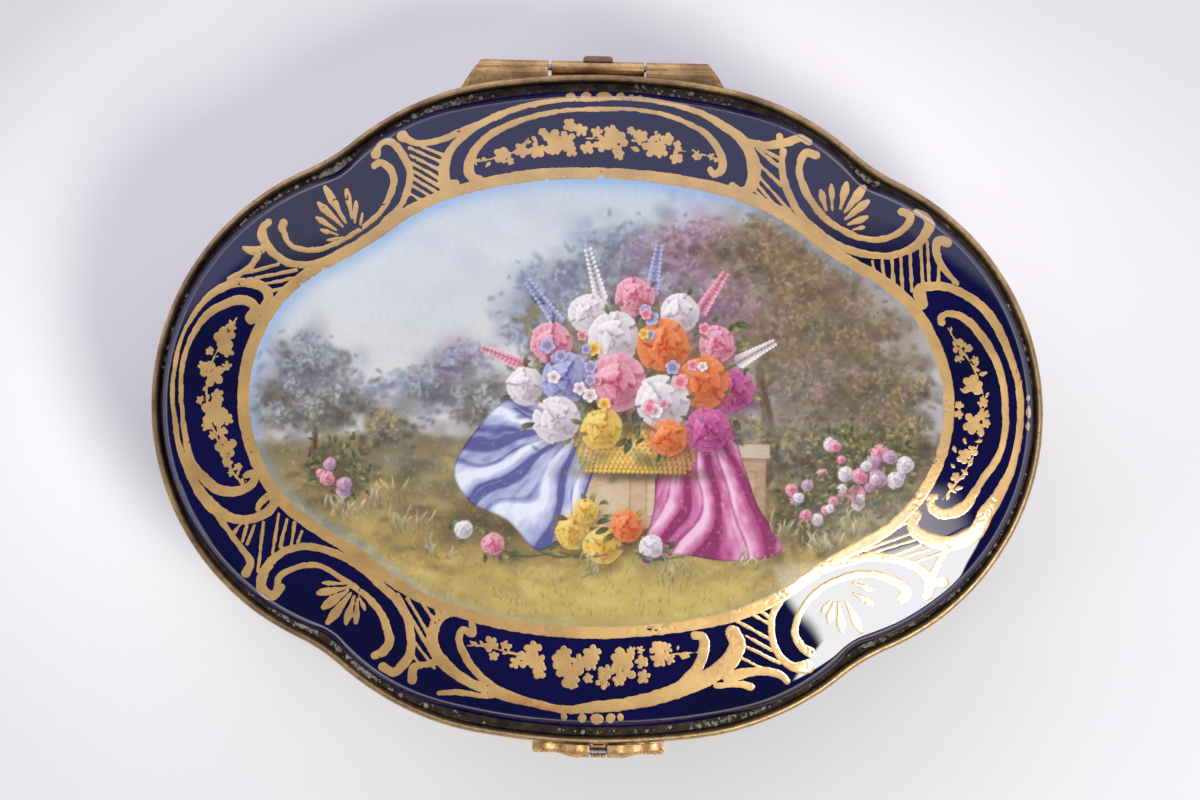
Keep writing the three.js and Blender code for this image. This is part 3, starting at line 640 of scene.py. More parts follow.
def lid_collar():
    bead = 0.56
    margin = 0.06
    top = RIM_HEIGHT - margin
    profile = [
        (porcelain, LID_FLANGE_INSET, LID_COLLAR_BOTTOM),
        (collar, 0.3, LID_COLLAR_BOTTOM),
        (collar, 0.12, LID_COLLAR_BOTTOM + 0.15),
        (collar, 0.1, LID_COLLAR_BOTTOM + 0.6),
        (collar, 0.28, LID_COLLAR_BOTTOM + 0.8),
        (collar, 0.3, top - 1.45),
        (collar, 0.16, top - 1.25),
    ]
    profile += arc_profile(collar, margin + bead, top - bead, bead, -20, 165, 16)
    profile += [
        (collar, COLLAR_THICKNESS, top - 0.75),
        (collar, COLLAR_THICKNESS, LID_COLLAR_BOTTOM + FLANGE_THICKNESS),
        (porcelain, LID_FLANGE_INSET, LID_COLLAR_BOTTOM + FLANGE_THICKNESS),
    ]
    made = add_mesh("lid_rim", collar_shape(profile, 21), LID_BRASS, 50)
    place(made, "lid", "collar_brass", "lid_collar")


def base_collar():
    margin = 0.08
    bottom = BASE_COLLAR_BOTTOM
    flange_bottom = SEAM_HEIGHT - FLANGE_THICKNESS
    profile = [
        (collar, COLLAR_THICKNESS, bottom + 0.2),
        (collar, COLLAR_THICKNESS - 0.2, bottom),
    ]
    profile += arc_profile(collar, margin + 0.5, bottom + 0.5, 0.5, -90, 20, 9)
    profile += [
        (collar, 0.2, bottom + 1.15),
        (collar, 0.34, bottom + 1.4),
        (collar, 0.34, SEAM_HEIGHT - 1.5),
        (collar, 0.18, SEAM_HEIGHT - 1.3),
    ]
    profile += arc_profile(collar, margin + 0.35, SEAM_HEIGHT - 0.4, 0.35, -60, 90, 8)
    profile += [
        (porcelain, LIP_OUTSIDE - FILM, SEAM_HEIGHT - 0.05),
        (porcelain, LIP_OUTSIDE - FILM, flange_bottom),
        (collar, COLLAR_THICKNESS, flange_bottom),
    ]
    made = add_mesh("base_rim", collar_shape(profile, 27), BASE_BRASS, 50)
    place(made, "base", "collar_brass", "base_collar")


def base_lip():
    low, high = box_mm("base_lip")
    thickness = 0.8
    middle = LIP_OUTSIDE + thickness / 2
    profile = [(porcelain, LIP_OUTSIDE, low[2])]
    profile += arc_profile(porcelain, middle, high[2] - thickness / 2, thickness / 2, 0, 180, 10)
    profile += [(porcelain, LIP_OUTSIDE + thickness, low[2])]
    rings = [outline.ring(inset, height) for outline, inset, height in profile]
    place(add_mesh("mouth_lip", skin(rings), BASE_BRASS, 50), "base", "collar_brass", "base_lip")


# Plaster in the troughs, with crumbs that have worked loose
def trough_plaster(name, node, body, seed):
    low, high = box_mm(node)
    outside = COLLAR_THICKNESS + FILM
    rough = 0.25

    def uneven(ring, amount, extra):
        wave = layered_noise(ring[:, 0], ring[:, 1], 2.4, seed + extra, 4)
        ring[:, 2] -= amount * (0.5 + 0.5 * wave)
        return ring

    rings = [porcelain.ring(-FILM, low[2]), collar.ring(outside, low[2])]
    top = high[2]
    outer, inner = collar.ring(outside, top - 0.12), porcelain.ring(-FILM, top - 0.02)
    rings.append(uneven(outer.copy(), 2 * rough, 1))
    for k in range(1, 5):
        between = outer + (inner - outer) * k / 5
        between[:, 2] -= 0.25 * np.sin(np.pi * k / 5)
        rings.append(uneven(between, rough, k + 1))
    rings.append(uneven(inner.copy(), rough, 6))
    made = add_mesh(name, skin(rings), PLASTER, 80)
    place(made, body, "plaster", node)


def crumbs():
    """Pale crumbs of plaster and dust in the trough round the lid."""
    rng = np.random.default_rng(11)
    clusters = [
        (-39, 34, 6, 90), (-47, 26, 4, 24), (-26, 42, 6, 60), (12, 46, 9, 14), (38, 34, 5, 16),
        (-34, -36, 9, 60), (-42, -31, 4, 30), (24, -42, 7, 34), (40, -33, 8, 26), (58, -14, 9, 16),
        (-60, 9, 9, 10), (61, 8, 9, 12), (0, -45, 14, 12), (50, -26, 6, 16),
    ]
    parts = []
    for x, y, spread, count in clusters:
        nearest = np.argmin(np.hypot(*(porcelain.at - [x, y]).T))
        for _ in range(2 * count):
            k = int(nearest + rng.normal(0, spread)) % len(porcelain.at)
            share = rng.uniform(0.15, 0.8)
            inner, outer = porcelain.at[k], collar.at[k] - collar.normal[k] * COLLAR_THICKNESS
            at = inner + (outer - inner) * share
            size = rng.uniform(0.14, 0.4) * (0.6 if rng.random() < 0.5 else 1.15)
            centre = np.array([*at, RIM_HEIGHT - 0.8 - 0.3 * share + rng.uniform(-0.1, 0.15)])
            parts.append(pebble(centre, size, rng))
    place(add_mesh("plaster_crumbs", joined(parts), CRUMB, 30), "lid", "plaster")


def pebble(centre, size, rng):
    """A small angular lump."""
    rings = []
    for height, radius in ((-0.6, 0.6), (0.0, 1.0), (0.55, 0.6)):
        turns = np.linspace(0, 2 * np.pi, 7)[:-1] + rng.uniform(0, 1)
        reach = radius * rng.uniform(0.65, 1.15, 6)
        rings.append(np.column_stack([reach * np.cos(turns), reach * np.sin(turns), np.full(6, height)]))
    points, faces = skin(rings, [[0, 0, -0.8], [0, 0, 0.8]])
    return points * size * [1, 1, 0.7] + centre, faces


# Gilding: strokes drawn into a grid that holds how far each point lies outside them
def spline(points, step=0.3):
    """A smooth line through points; each column is carried along."""
    points = np.array(points, float)
    padded = np.vstack([2 * points[0] - points[1], points, 2 * points[-1] - points[-2]])
    out = []
    for p0, p1, p2, p3 in zip(padded, padded[1:], padded[2:], padded[3:]):
        count = max(1, int(np.ceil(np.hypot(*(p2 - p1)[:2]) / step)))
        t = (np.arange(count) / count)[:, None]
        bend = 2 * p1 + (p2 - p0) * t + (2 * p0 - 5 * p1 + 4 * p2 - p3) * t**2
        out.append(0.5 * (bend + (3 * p1 - p0 - 3 * p2 + p3) * t**3))
    out.append(points[-1:])
    return np.concatenate(out)


class Pattern:
    """A drawing of strokes over a window; below 0 in its field is inside them."""

    def __init__(self, x_range, y_range, cell=0.16):
        self.cell = cell
        self.xs = np.arange(x_range[0], x_range[1] + cell, cell)
        self.ys = np.arange(y_range[0], y_range[1] + cell, cell)
        self.x, self.y = np.meshgrid(self.xs, self.ys)
        self.field = np.full(self.x.shape, 9.0)

    def segment(self, a, b):
        """Joins a tapered stroke between two points (x, y, width)."""
        half = max(a[2], b[2]) / 2 + 1
        low = np.minimum(a[:2], b[:2]) - half
        high = np.maximum(a[:2], b[:2]) + half
        i0, i1 = np.searchsorted(self.xs, [low[0], high[0]])
        j0, j1 = np.searchsorted(self.ys, [low[1], high[1]])
        if i0 == i1 or j0 == j1:
            return
        dx, dy = b[0] - a[0], b[1] - a[1]
        px, py = self.xs[i0:i1] - a[0], self.ys[j0:j1, None] - a[1]
        t = np.clip((px * dx + py * dy) / max(dx * dx + dy * dy, 1e-9), 0, 1)
        away = np.hypot(px - t * dx, py - t * dy) - (a[2] + (b[2] - a[2]) * t) / 2
        window = self.field[j0:j1, i0:i1]
        np.minimum(window, away, out=window)

    def stroke(self, points):
        line = spline(points) if len(points) > 2 else np.array(points, float)
        for a, b in zip(line, line[1:]):
            self.segment(a, b)

    def petal(self, base, tip, width):
        """A teardrop, widest past its middle."""
        base, tip = np.array(base, float), np.array(tip, float)
        shares = ((0, 0.3), (0.35, 0.62), (0.72, 1.0), (1, 0.55))
        self.stroke([(*(base + (tip - base) * s), width * w) for s, w in shares])

    def flower(self, x, y, radius, petals, turn=0.0):
        """A rosette seen from above, its petals nearly parted."""
        for k in range(petals):
            angle = turn + 2 * np.pi * k / petals
            reach = radius * (1 + 0.12 * np.sin(3.7 * k + turn))
            tip = (x + 0.72 * reach * np.cos(angle), y + 0.72 * reach * np.sin(angle))
            self.segment(np.array([x, y, radius * 0.5]), np.array([*tip, radius * 0.62]))

    def lobe(self, x, y, size_x, size_y):
        away = np.hypot(2 * (self.x - x) / size_x, 2 * (self.y - y) / size_y) - 1
        self.field = np.minimum(self.field, away * min(size_x, size_y) / 2)

    def bloom(self, x, y, radius, rng):
        """A full flower or, where it is small, a leaf."""
        turn = rng.uniform(0, 2 * np.pi)
        if radius < 0.57:
            reach = 0.9 * radius * np.array([np.cos(turn), np.sin(turn)])
            self.petal(np.array([x, y]) - reach, np.array([x, y]) + reach, 1.3 * radius)
            return
        middle = np.array([x, y, 1.05 * radius])
        self.segment(middle, middle)
        petals = 5
        for k in range(petals):
            angle = turn + 2 * np.pi * k / petals + rng.normal(0, 0.12)
            reach = radius * rng.uniform(0.55, 0.68)
            at = np.array([x + reach * np.cos(angle), y + reach * np.sin(angle), radius * rng.uniform(0.62, 0.8)])
            self.segment(at, at)

    def worn(self, seed, rub=0.05):
        """Hand-drawn edges, and specks where the gold has rubbed off."""
        wobble = rub * noise(self.x, self.y, 0.9, seed) + 0.6 * rub * noise(self.x, self.y, 0.33, seed + 1)
        speck = noise(self.x, self.y, 0.3, seed + 2) + 0.5 * noise(self.x, self.y, 2.1, seed + 3)
        self.field = np.maximum(self.field + wobble, 0.25 * (speck - 1.12))

    def shape(self, surface, proud, sink=0.04):
        """A thin closed layer on a surface: surface(x, y, lift) gives its points."""
        x, y, inside_by, faces = self.contour()
        lift = proud * (0.35 + 0.65 * smooth(np.clip(inside_by / 0.16, 0, 1)))
        top, bottom = surface(x, y, lift), surface(x, y, np.full(len(x), -sink))
        return closed_layer(top, bottom, faces)

    def contour(self):
        """Points, their depth inside the field, and the faces that cover the inside."""
        inside = self.field < 0
        rows, columns = inside.shape
        crosses_x = inside[:, 1:] != inside[:, :-1]
        crosses_y = inside[1:] != inside[:-1]
        corner = np.full(inside.shape, -1)
        corner[inside] = np.arange(inside.sum())
        start_x = inside.sum()
        edge_x = np.full(crosses_x.shape, -1)
        edge_x[crosses_x] = start_x + np.arange(crosses_x.sum())
        start_y = start_x + crosses_x.sum()
        edge_y = np.full(crosses_y.shape, -1)
        edge_y[crosses_y] = start_y + np.arange(crosses_y.sum())

        def crossing(first, second):
            return np.clip(first / (first - second + 1e-12), 0.1, 0.9)

        share_x = crossing(self.field[:, :-1], self.field[:, 1:])[crosses_x]
        share_y = crossing(self.field[:-1], self.field[1:])[crosses_y]
        x = [self.x[inside], self.x[:, :-1][crosses_x] + share_x * self.cell, self.x[:-1][crosses_y]]
        y = [self.y[inside], self.y[:, :-1][crosses_x], self.y[:-1][crosses_y] + share_y * self.cell]
        depth = [-self.field[inside], np.zeros(crosses_x.sum()), np.zeros(crosses_y.sum())]
        around = [
            corner[:-1, :-1], edge_x[:-1], corner[:-1, 1:], edge_y[:, 1:],
            corner[1:, 1:], edge_x[1:], corner[1:, :-1], edge_y[:, :-1],
        ]
        code = sum((around[2 * k] >= 0) << k for k in range(4))
        faces = []
        for case in range(1, 16):
            cells = code == case
            if not cells.any():
                continue
            columns_used = [a[cells] for a in around]
            faces.append(np.stack([c for c in columns_used if c[0] >= 0], 1))
        return np.concatenate(x), np.concatenate(y), np.concatenate(depth), faces


def closed_layer(top, bottom, faces):
    """Closes two skins of the same faces with walls along their open edges."""
    count = len(top)
    walls = np.concatenate([np.stack([f, np.roll(f, -1, 1)], 2).reshape(-1, 2) for f in faces])
    forward, backward = walls[:, 0] * count + walls[:, 1], walls[:, 1] * count + walls[:, 0]
    a, b = walls[~np.isin(forward, backward)].T
    sides = np.stack([a, a + count, b + count, b], 1)
    under = [f[:, ::-1] + count for f in faces]
    return np.concatenate([top, bottom]), faces + under + [sides]


def fan_layer(top, faces, sink=0.07, depth=0.5):
    """Closes a skin from below: a wall along its open edge, then a fan to one point under it."""
    count = len(top)
    walls = np.concatenate([np.stack([f, np.roll(f, -1, 1)], 2).reshape(-1, 2) for f in faces])
    forward, backward = walls[:, 0] * count + walls[:, 1], walls[:, 1] * count + walls[:, 0]
    a, b = walls[~np.isin(forward, backward)].T
    edge, low_a = np.unique(a, return_inverse=True)
    low_a = low_a + count
    low_b = np.searchsorted(edge, b) + count
    middle = top.mean(0)
    middle[2] = lid_height(middle[:1], middle[1:2])[0] - depth
    points = np.concatenate([top, top[edge] - [0, 0, sink], [middle]])
    last = np.full(len(a), len(points) - 1)
    sides, fan = np.stack([a, low_a, low_b, b], 1), np.stack([low_b, low_a, last], 1)
    return points, faces + [sides, fan]


def on_lid(x, y, lift):
    return np.column_stack([x, y, lid_height(x, y) + lift])


# The ornament: strokes are points (x, y, width) from the middle of the lid
BACK_LEFT_SCROLLS = [
    [
        (-0.6, 44.8, 0.73), (-5.7, 44.6, 0.73), (-8.7, 44.1, 0.8), (-12, 43.3, 0.87), (-15.3, 42, 1.0),
        (-18.4, 40.4, 1.1), (-20.5, 38.6, 1.1), (-22, 36.8, 1.15), (-22.7, 34.8, 1.45), (-22.8, 32.8, 1.75),
        (-22.3, 31.1, 2.0),
    ],
    [(-22.5, 31.9, 1.45), (-21.1, 32.1, 1.15)],
    [
        (-0.6, 43.3, 0.67), (-5.4, 43, 0.67), (-8.7, 42.4, 0.73), (-12, 41.4, 0.84), (-14.6, 40.2, 1.0),
        (-16.8, 38.8, 1.1), (-18.3, 37.1, 1.2), (-19.1, 35.3, 1.45), (-19.2, 33.8, 1.55), (-18.5, 32.9, 1.3),
        (-17.6, 33, 0.73),
    ],
    [
        (-18.4, 40.7, 0.73), (-20.8, 39.5, 0.95), (-22.7, 38.6, 1), (-24.7, 38, 0.9), (-26.7, 37.8, 1),
        (-28.3, 38.4, 1.1), (-28.9, 38.8, 1.75),
    ],
    [
        (-32.7, 36.1, 1.45), (-32.5, 37.1, 1), (-31.9, 37.8, 1.1), (-30.9, 38, 1.1), (-29.8, 37.3, 1.1),
        (-28.7, 35.9, 1.1), (-27.8, 33.9, 1), (-27.8, 32, 0.95), (-28.3, 30, 0.95), (-29.3, 28.2, 0.95),
        (-31, 26.3, 1.15), (-32.6, 24.4, 1.3), (-36, 22.3, 1.3), (-38.7, 20.9, 1.15), (-41, 20.1, 1),
        (-42.9, 19.9, 0.95), (-45.1, 20.2, 1), (-46.9, 21.3, 1.15), (-48.1, 22.6, 1.3), (-48.8, 23.9, 1.35),
        (-48.8, 25.1, 1.15), (-48, 25.9, 1.1),
    ],
    [
        (-32.9, 34.4, 1), (-31.9, 34.9, 1), (-30.6, 34, 1.15), (-30, 32.5, 1), (-30.2, 31, 1),
        (-31, 29.1, 0.9), (-32.2, 27.3, 0.8), (-34.1, 25.6, 0.73), (-36.1, 24.2, 0.7), (-38.2, 23, 0.73),
        (-40.1, 22.3, 0.8), (-41.8, 22, 0.8), (-43.8, 22.3, 0.75), (-45, 23, 0.77), (-45.6, 24.2, 0.8),
        (-46, 25.2, 1.15), (-45.8, 25.9, 1.25),
    ],
    [(-48.8, 22, 1.15), (-50.3, 21.8, 1.3), (-51.4, 22.2, 0.73)],
    [(-49.2, 21.5, 0.87), (-50.1, 19.8, 0.87), (-51.5, 18.7, 0.87), (-53.4, 17.6, 0.87)],
    [
        (-48.5, 13.2, 1.45), (-47.7, 14.5, 1.45), (-48, 16, 1.45), (-49.3, 16.9, 1.4), (-51.2, 17.2, 1.35),
        (-53.2, 16.9, 1.25), (-55.2, 15.9, 1.15), (-56.8, 14.6, 0.95), (-58.4, 12.5, 0.7), (-59.7, 10.2, 0.6),
        (-60.5, 7.9, 0.6), (-61, 5.2, 0.6), (-61.3, 2.4, 0.62), (-61.3, -0.1, 0.65),
    ],
    [
        (-50, 12.1, 2), (-49.6, 13.4, 1.5), (-50.4, 14.4, 1.43), (-52, 14.7, 1.43), (-53.4, 14.2, 1.25),
        (-55.1, 13.4, 1.25), (-56.7, 12.2, 1.1), (-58.2, 10.1, 0.84), (-59.3, 7.7, 0.7), (-59.9, 5.2, 0.7),
        (-60.1, 2.7, 0.73), (-60, -0.1, 0.73),
    ],
]
FRONT_LEFT_SCROLLS = [
    [
        (4.2, -42.7, 2), (0.3, -43.1, 1.7), (-4.1, -43.3, 1.55), (-9.9, -42.3, 1.35), (-14.3, -41.1, 1.55),
        (-18.8, -39, 2), (-21.7, -36.6, 2.4), (-23, -34, 2.2), (-22.6, -31.3, 2), (-21.1, -29.9, 1.8),
        (-18.9, -29.4, 1.6),
    ],
    [(-21.7, -36.6, 1.8), (-23.6, -37.2, 1.25), (-25.6, -37.7, 1.6), (-25.8, -39.5, 1.85)],
    [(-14.3, -41.6, 1), (-16.1, -41.6, 1), (-19.2, -41.2, 1.15), (-22, -41.4, 0.8)],
    [
        (-17.4, -31.1, 1.35), (-17.3, -32.6, 1.5), (-18.7, -32.1, 1.35), (-19.1, -33.9, 1.35),
        (-17.9, -36.5, 1.55), (-16.1, -38.7, 1.43), (-13.4, -40.6, 1.35), (-9.9, -41.9, 1.1),
        (-6.3, -42.6, 0.7),
    ],
    [
        (-30.1, -37.8, 1.8), (-28.5, -38.5, 1.8), (-27, -37.2, 1.8), (-26.1, -35.4, 1.7), (-26.2, -32.7, 1.55),
        (-26.9, -30.1, 1.6), (-28.4, -27.9, 1.55), (-30.5, -26, 1.6), (-32.7, -24, 1.7), (-35.4, -22.3, 1.6),
        (-38.5, -21.1, 1.5), (-41.2, -20.6, 1.35), (-43.4, -21, 1.43), (-45.4, -21.9, 1.5), (-46.9, -23.5, 1.8),
        (-47.8, -25.3, 2), (-47.7, -27.1, 2), (-46.2, -27.9, 1.8), (-45, -26.6, 1.5),
    ],
    [
        (-45.5, -27, 1.5), (-45.3, -25.2, 1.25), (-43.8, -24.1, 1.15), (-41.6, -23.4, 1.07), (-39.3, -23.4, 1),
        (-37.1, -24.6, 1.07), (-34.4, -26.3, 1.15), (-32.2, -28, 1.25), (-30.4, -30.2, 1.5), (-29.5, -32.4, 1.6),
        (-29.2, -34.1, 1.8), (-30.1, -35.5, 1.85), (-31.4, -36.2, 1.35),
    ],
    [
        (-61.3, -0.1, 0.9), (-60.9, -2.6, 1), (-60.3, -6.2, 1.07), (-59.2, -9.2, 1.35), (-57.3, -12.7, 2),
        (-55, -15.3, 2.4), (-52.3, -16.8, 1.8), (-49.7, -16.9, 1.7), (-47.5, -16, 1.8), (-46.2, -14.6, 1.8),
        (-46.8, -13.4, 1.35), (-48.2, -14.5, 1.35), (-48.6, -15.4, 1),
    ],
    [(-55, -15.3, 1.8), (-52.8, -18.6, 1.1), (-50.9, -21, 1.1), (-49.5, -23.1, 1.55), (-50.2, -24.8, 1.6)],
    [
        (-60, -0.1, 0.72), (-59.7, -2.6, 0.9), (-59.2, -5.7, 1.1), (-58.3, -8.8, 1.55), (-56.7, -10.9, 2),
        (-54.6, -12.6, 2), (-52.4, -13, 1.85), (-50.4, -12.5, 1.6), (-49.2, -11.4, 1.5), (-49.4, -10.2, 1.35),
        (-50.4, -10.6, 1.07),
    ],
]
BACK_RIGHT_SCROLLS = [
    [
        (-0.7, 44.9, 0.77), (2.8, 45, 0.83), (5.7, 44.9, 0.83), (8.7, 44.5, 0.9), (11.6, 43.8, 0.95),
        (14.6, 42.8, 1), (17.2, 41.3, 1.3), (18.8, 40.3, 1.4), (20, 39.3, 1.7), (21.1, 37.7, 1.9),
        (21.7, 35.8, 2.1), (21.8, 33.9, 2.1), (21.2, 32.3, 1.75), (19.8, 31.7, 1.4), (18.7, 32.6, 1.2),
    ],
    [
        (-0.7, 43.3, 0.65), (2.8, 43.4, 0.65), (5.8, 43.2, 0.65), (8.7, 42.7, 0.7), (11.7, 41.7, 0.83),
        (14.4, 40.3, 1), (16.1, 38.6, 1.2), (17.1, 36.7, 1.3), (17.2, 35, 1.3), (16.1, 34.2, 1.07),
        (15.5, 34.9, 0.9),
    ],
    [
        (20.9, 38.9, 1.27), (23.4, 38.6, 1.27), (25.4, 38.9, 1.48), (27, 39.3, 1.35), (28.6, 39.9, 1.35),
        (29.7, 39.3, 1.27),
    ],
    [(25.6, 38.9, 1.06), (25.4, 40, 1.2)],
    [
        (26, 37.8, 1.06), (25.8, 35.9, 1.06), (26.1, 33.8, 1.13), (27, 31.3, 1.2), (28.4, 28.9, 1.2),
        (30.4, 26.9, 1.2), (32.7, 25.2, 1.2), (35.1, 24, 1.2), (38, 23.2, 1.2), (40.8, 23, 1.06),
        (43.2, 23.5, 1.13), (45.3, 24.6, 1.35), (46.7, 26.2, 1.6), (47.4, 27.8, 1.75), (46.8, 29, 1.6),
        (45.6, 29.5, 1.27),
    ],
    [
        (30.7, 37.3, 1.4), (29.3, 37.6, 1.35), (28.5, 36.3, 1.2), (28.4, 34.5, 1.2), (29.1, 32.5, 1.2),
        (30.3, 30.4, 1.13), (31.9, 28.5, 1.13), (34, 27, 1.06), (36.5, 25.8, 1), (39, 25.3, 0.92),
        (41.4, 25.7, 1), (43.2, 26.7, 1.13), (44.3, 27.9, 1.27), (44.5, 29, 1.2), (43.3, 29.4, 1.4),
    ],
    [
        (49.9, 25.2, 1.6), (48.6, 25.4, 1.4), (48.3, 23.8, 1.2), (49, 22.1, 1.06), (50.3, 20.4, 0.92),
        (51.4, 19.3, 0.85),
    ],
    [
        (46.4, 16.2, 1.85), (46.1, 17.4, 2.1), (46, 18.4, 1.6), (47.7, 18.8, 1.4), (50.1, 18.7, 1.28),
        (52.4, 17.8, 1.4), (54.3, 16.7, 1.4), (55.9, 15.2, 1.5), (57.3, 13.3, 1.44), (58.5, 11, 1.35),
        (59.5, 8.5, 1.25), (60.3, 6.3, 1.15), (60.8, 4, 1.15), (61, 1.7, 1.1), (61, -0.6, 1.07),
    ],
    [
        (49.3, 13.6, 1.15), (49.3, 14.4, 1.15), (50.1, 14.9, 1.04), (51.7, 14.7, 1.15), (53.4, 13.7, 1.28),
        (54.8, 12.1, 1.35), (56, 10.5, 1.35), (57.2, 8.5, 1.28), (58.1, 6.2, 1.2), (58.6, 3.9, 1.15),
        (58.8, 1.6, 1.07),
    ],
]
FRONT_RIGHT_SCROLLS = [
    [
        (-2.9, -43.4, 1.2), (0.6, -42.8, 1.5), (4.7, -42.4, 1.8), (9.1, -41.4, 2.1), (13.5, -39.8, 2.3),
        (17.2, -38, 2.4), (19.8, -35.8, 2.5), (20.9, -33.4, 2.4), (20.2, -31.7, 2.2),
    ],
    [
        (12.3, -39.8, 1.2), (14.3, -38, 1.5), (15.7, -35.9, 1.5), (16.1, -33.8, 1.5), (15.9, -32.4, 1.35),
        (14.7, -32.2, 1.2),
    ],
    [
        (19.7, -38.2, 1.8), (21.8, -37.6, 1.5), (23.8, -37.2, 1.35), (25.9, -37.3, 1.2), (27.4, -37.8, 1.07),
        (28.3, -38.6, 0.9),
    ],
    [(18, -39.4, 0.9), (20.1, -39.2, 0.9), (21.8, -39.2, 1), (23, -39.5, 1.07)],
    [
        (31, -36.4, 2.1), (29.1, -36.5, 1.43), (27.5, -35.4, 1.07), (26.3, -33.6, 1), (25.8, -31.6, 1),
        (25.8, -29.5, 1), (26.6, -27.4, 1.07), (28, -25.6, 1.13), (30, -24, 1.2), (32.3, -22.6, 1.2),
        (34.9, -21.6, 1.25), (37.5, -20.8, 1.25), (40.2, -20.4, 1.25), (43.1, -20.5, 1.3), (45.5, -21.2, 1.37),
        (47.5, -22.4, 1.5), (48.5, -23.9, 1.65), (48.2, -25.8, 1.5),
    ],
    [
        (31.4, -34.3, 1.5), (30.1, -33.4, 1.2), (29.2, -31.8, 1.07), (29.3, -30, 1), (30, -28.2, 1),
        (31.2, -26.5, 1), (32.9, -24.9, 1), (35, -23.8, 1.07), (37.3, -23, 1.07), (39.7, -22.8, 1.07),
        (42, -23.2, 1.2), (44.1, -24.2, 1.37), (45.1, -25.3, 1.55), (44.6, -26.3, 1.65),
    ],
    [
        (61, -0.6, 1.07), (60.8, -2.9, 1), (60.4, -5.2, 1), (59.8, -7.5, 1.15), (58.8, -9.6, 1.5),
        (57.7, -11.7, 1.85), (56.3, -13.8, 2.2), (55.2, -16.2, 2.3), (53.4, -17.5, 2.25), (50.9, -18.2, 2.1),
        (48.4, -17.7, 1.9), (46.4, -16.7, 1.8), (45.7, -15.4, 1.65), (46.2, -14.1, 1.65),
    ],
    [
        (58.8, 1.6, 1.07), (58.9, -0.7, 1), (58.7, -2.7, 1), (58.3, -4.6, 1), (57.3, -6.6, 1.15),
        (56, -8.5, 1.04), (54.8, -10.4, 1.15), (53.5, -12.5, 1.6), (51.7, -13.7, 1.65), (49.8, -13.9, 1.53),
        (48.5, -13.1, 1.3), (48.2, -11.8, 1.1), (49, -11.5, 0.8),
    ],
    [(51.2, -18.3, 1.07), (50.2, -19.9, 1.07), (49.5, -21.4, 1.13), (48.8, -22.7, 1.2)],
    [(49, -23.8, 1.2), (50.5, -23.9, 1.55)],
]
# Each petal of a fan is its base, its tip and its width.
FANS = [
    ((-36.8, 26.1), (-39.9, 31.1), 1.2), ((-37.2, 25.5), (-40.8, 28.8), 1.1), ((-38.1, 25), (-41, 26.7), 0.9),
    ((-37.9, 24.3), (-40.4, 25), 0.65), ((-36.5, 24.1), (-39.3, 23.5), 0.5), ((-35.9, 26.7), (-36.8, 30.8), 1),
    ((-35.5, 26.1), (-35.4, 29.2), 0.7), ((-34.7, 25.6), (-34.4, 27.5), 0.5),
    ((-35.8, -25.9), (-38.9, -25.8), 0.8), ((-35.3, -26.4), (-39.5, -27.3), 1.2),
    ((-35.3, -26.8), (-38.8, -29.3), 1.4), ((-34.9, -27.2), (-38.1, -31.5), 1.4),
    ((-34.4, -27.6), (-35.5, -31.6), 1.1), ((-33.9, -28), (-34.1, -31.4), 0.95),
    ((-33.8, -27.4), (-32.8, -29.6), 0.6),
    ((32.3, 29.4), (31.5, 32.2), 1.05), ((33.2, 29.4), (33, 33.1), 0.85), ((34.4, 29.7), (35.2, 33.3), 1.25),
    ((35, 29.2), (37.8, 33), 1.45), ((35.1, 28.2), (38.3, 30.8), 1.2), ((35.5, 27.4), (38.2, 28.5), 1),
    ((36.3, 26.7), (37.9, 27.1), 0.65),
    ((34.2, -26.7), (33, -28.3), 0.9), ((34.6, -27), (34, -29.8), 1.25), ((35.3, -27), (35.9, -31.2), 1.35),
    ((36.3, -26.7), (38.7, -31.2), 1.3), ((37.4, -25.6), (40.2, -27.1), 0.95), ((37.3, -24.2), (39.9, -25), 1),
]
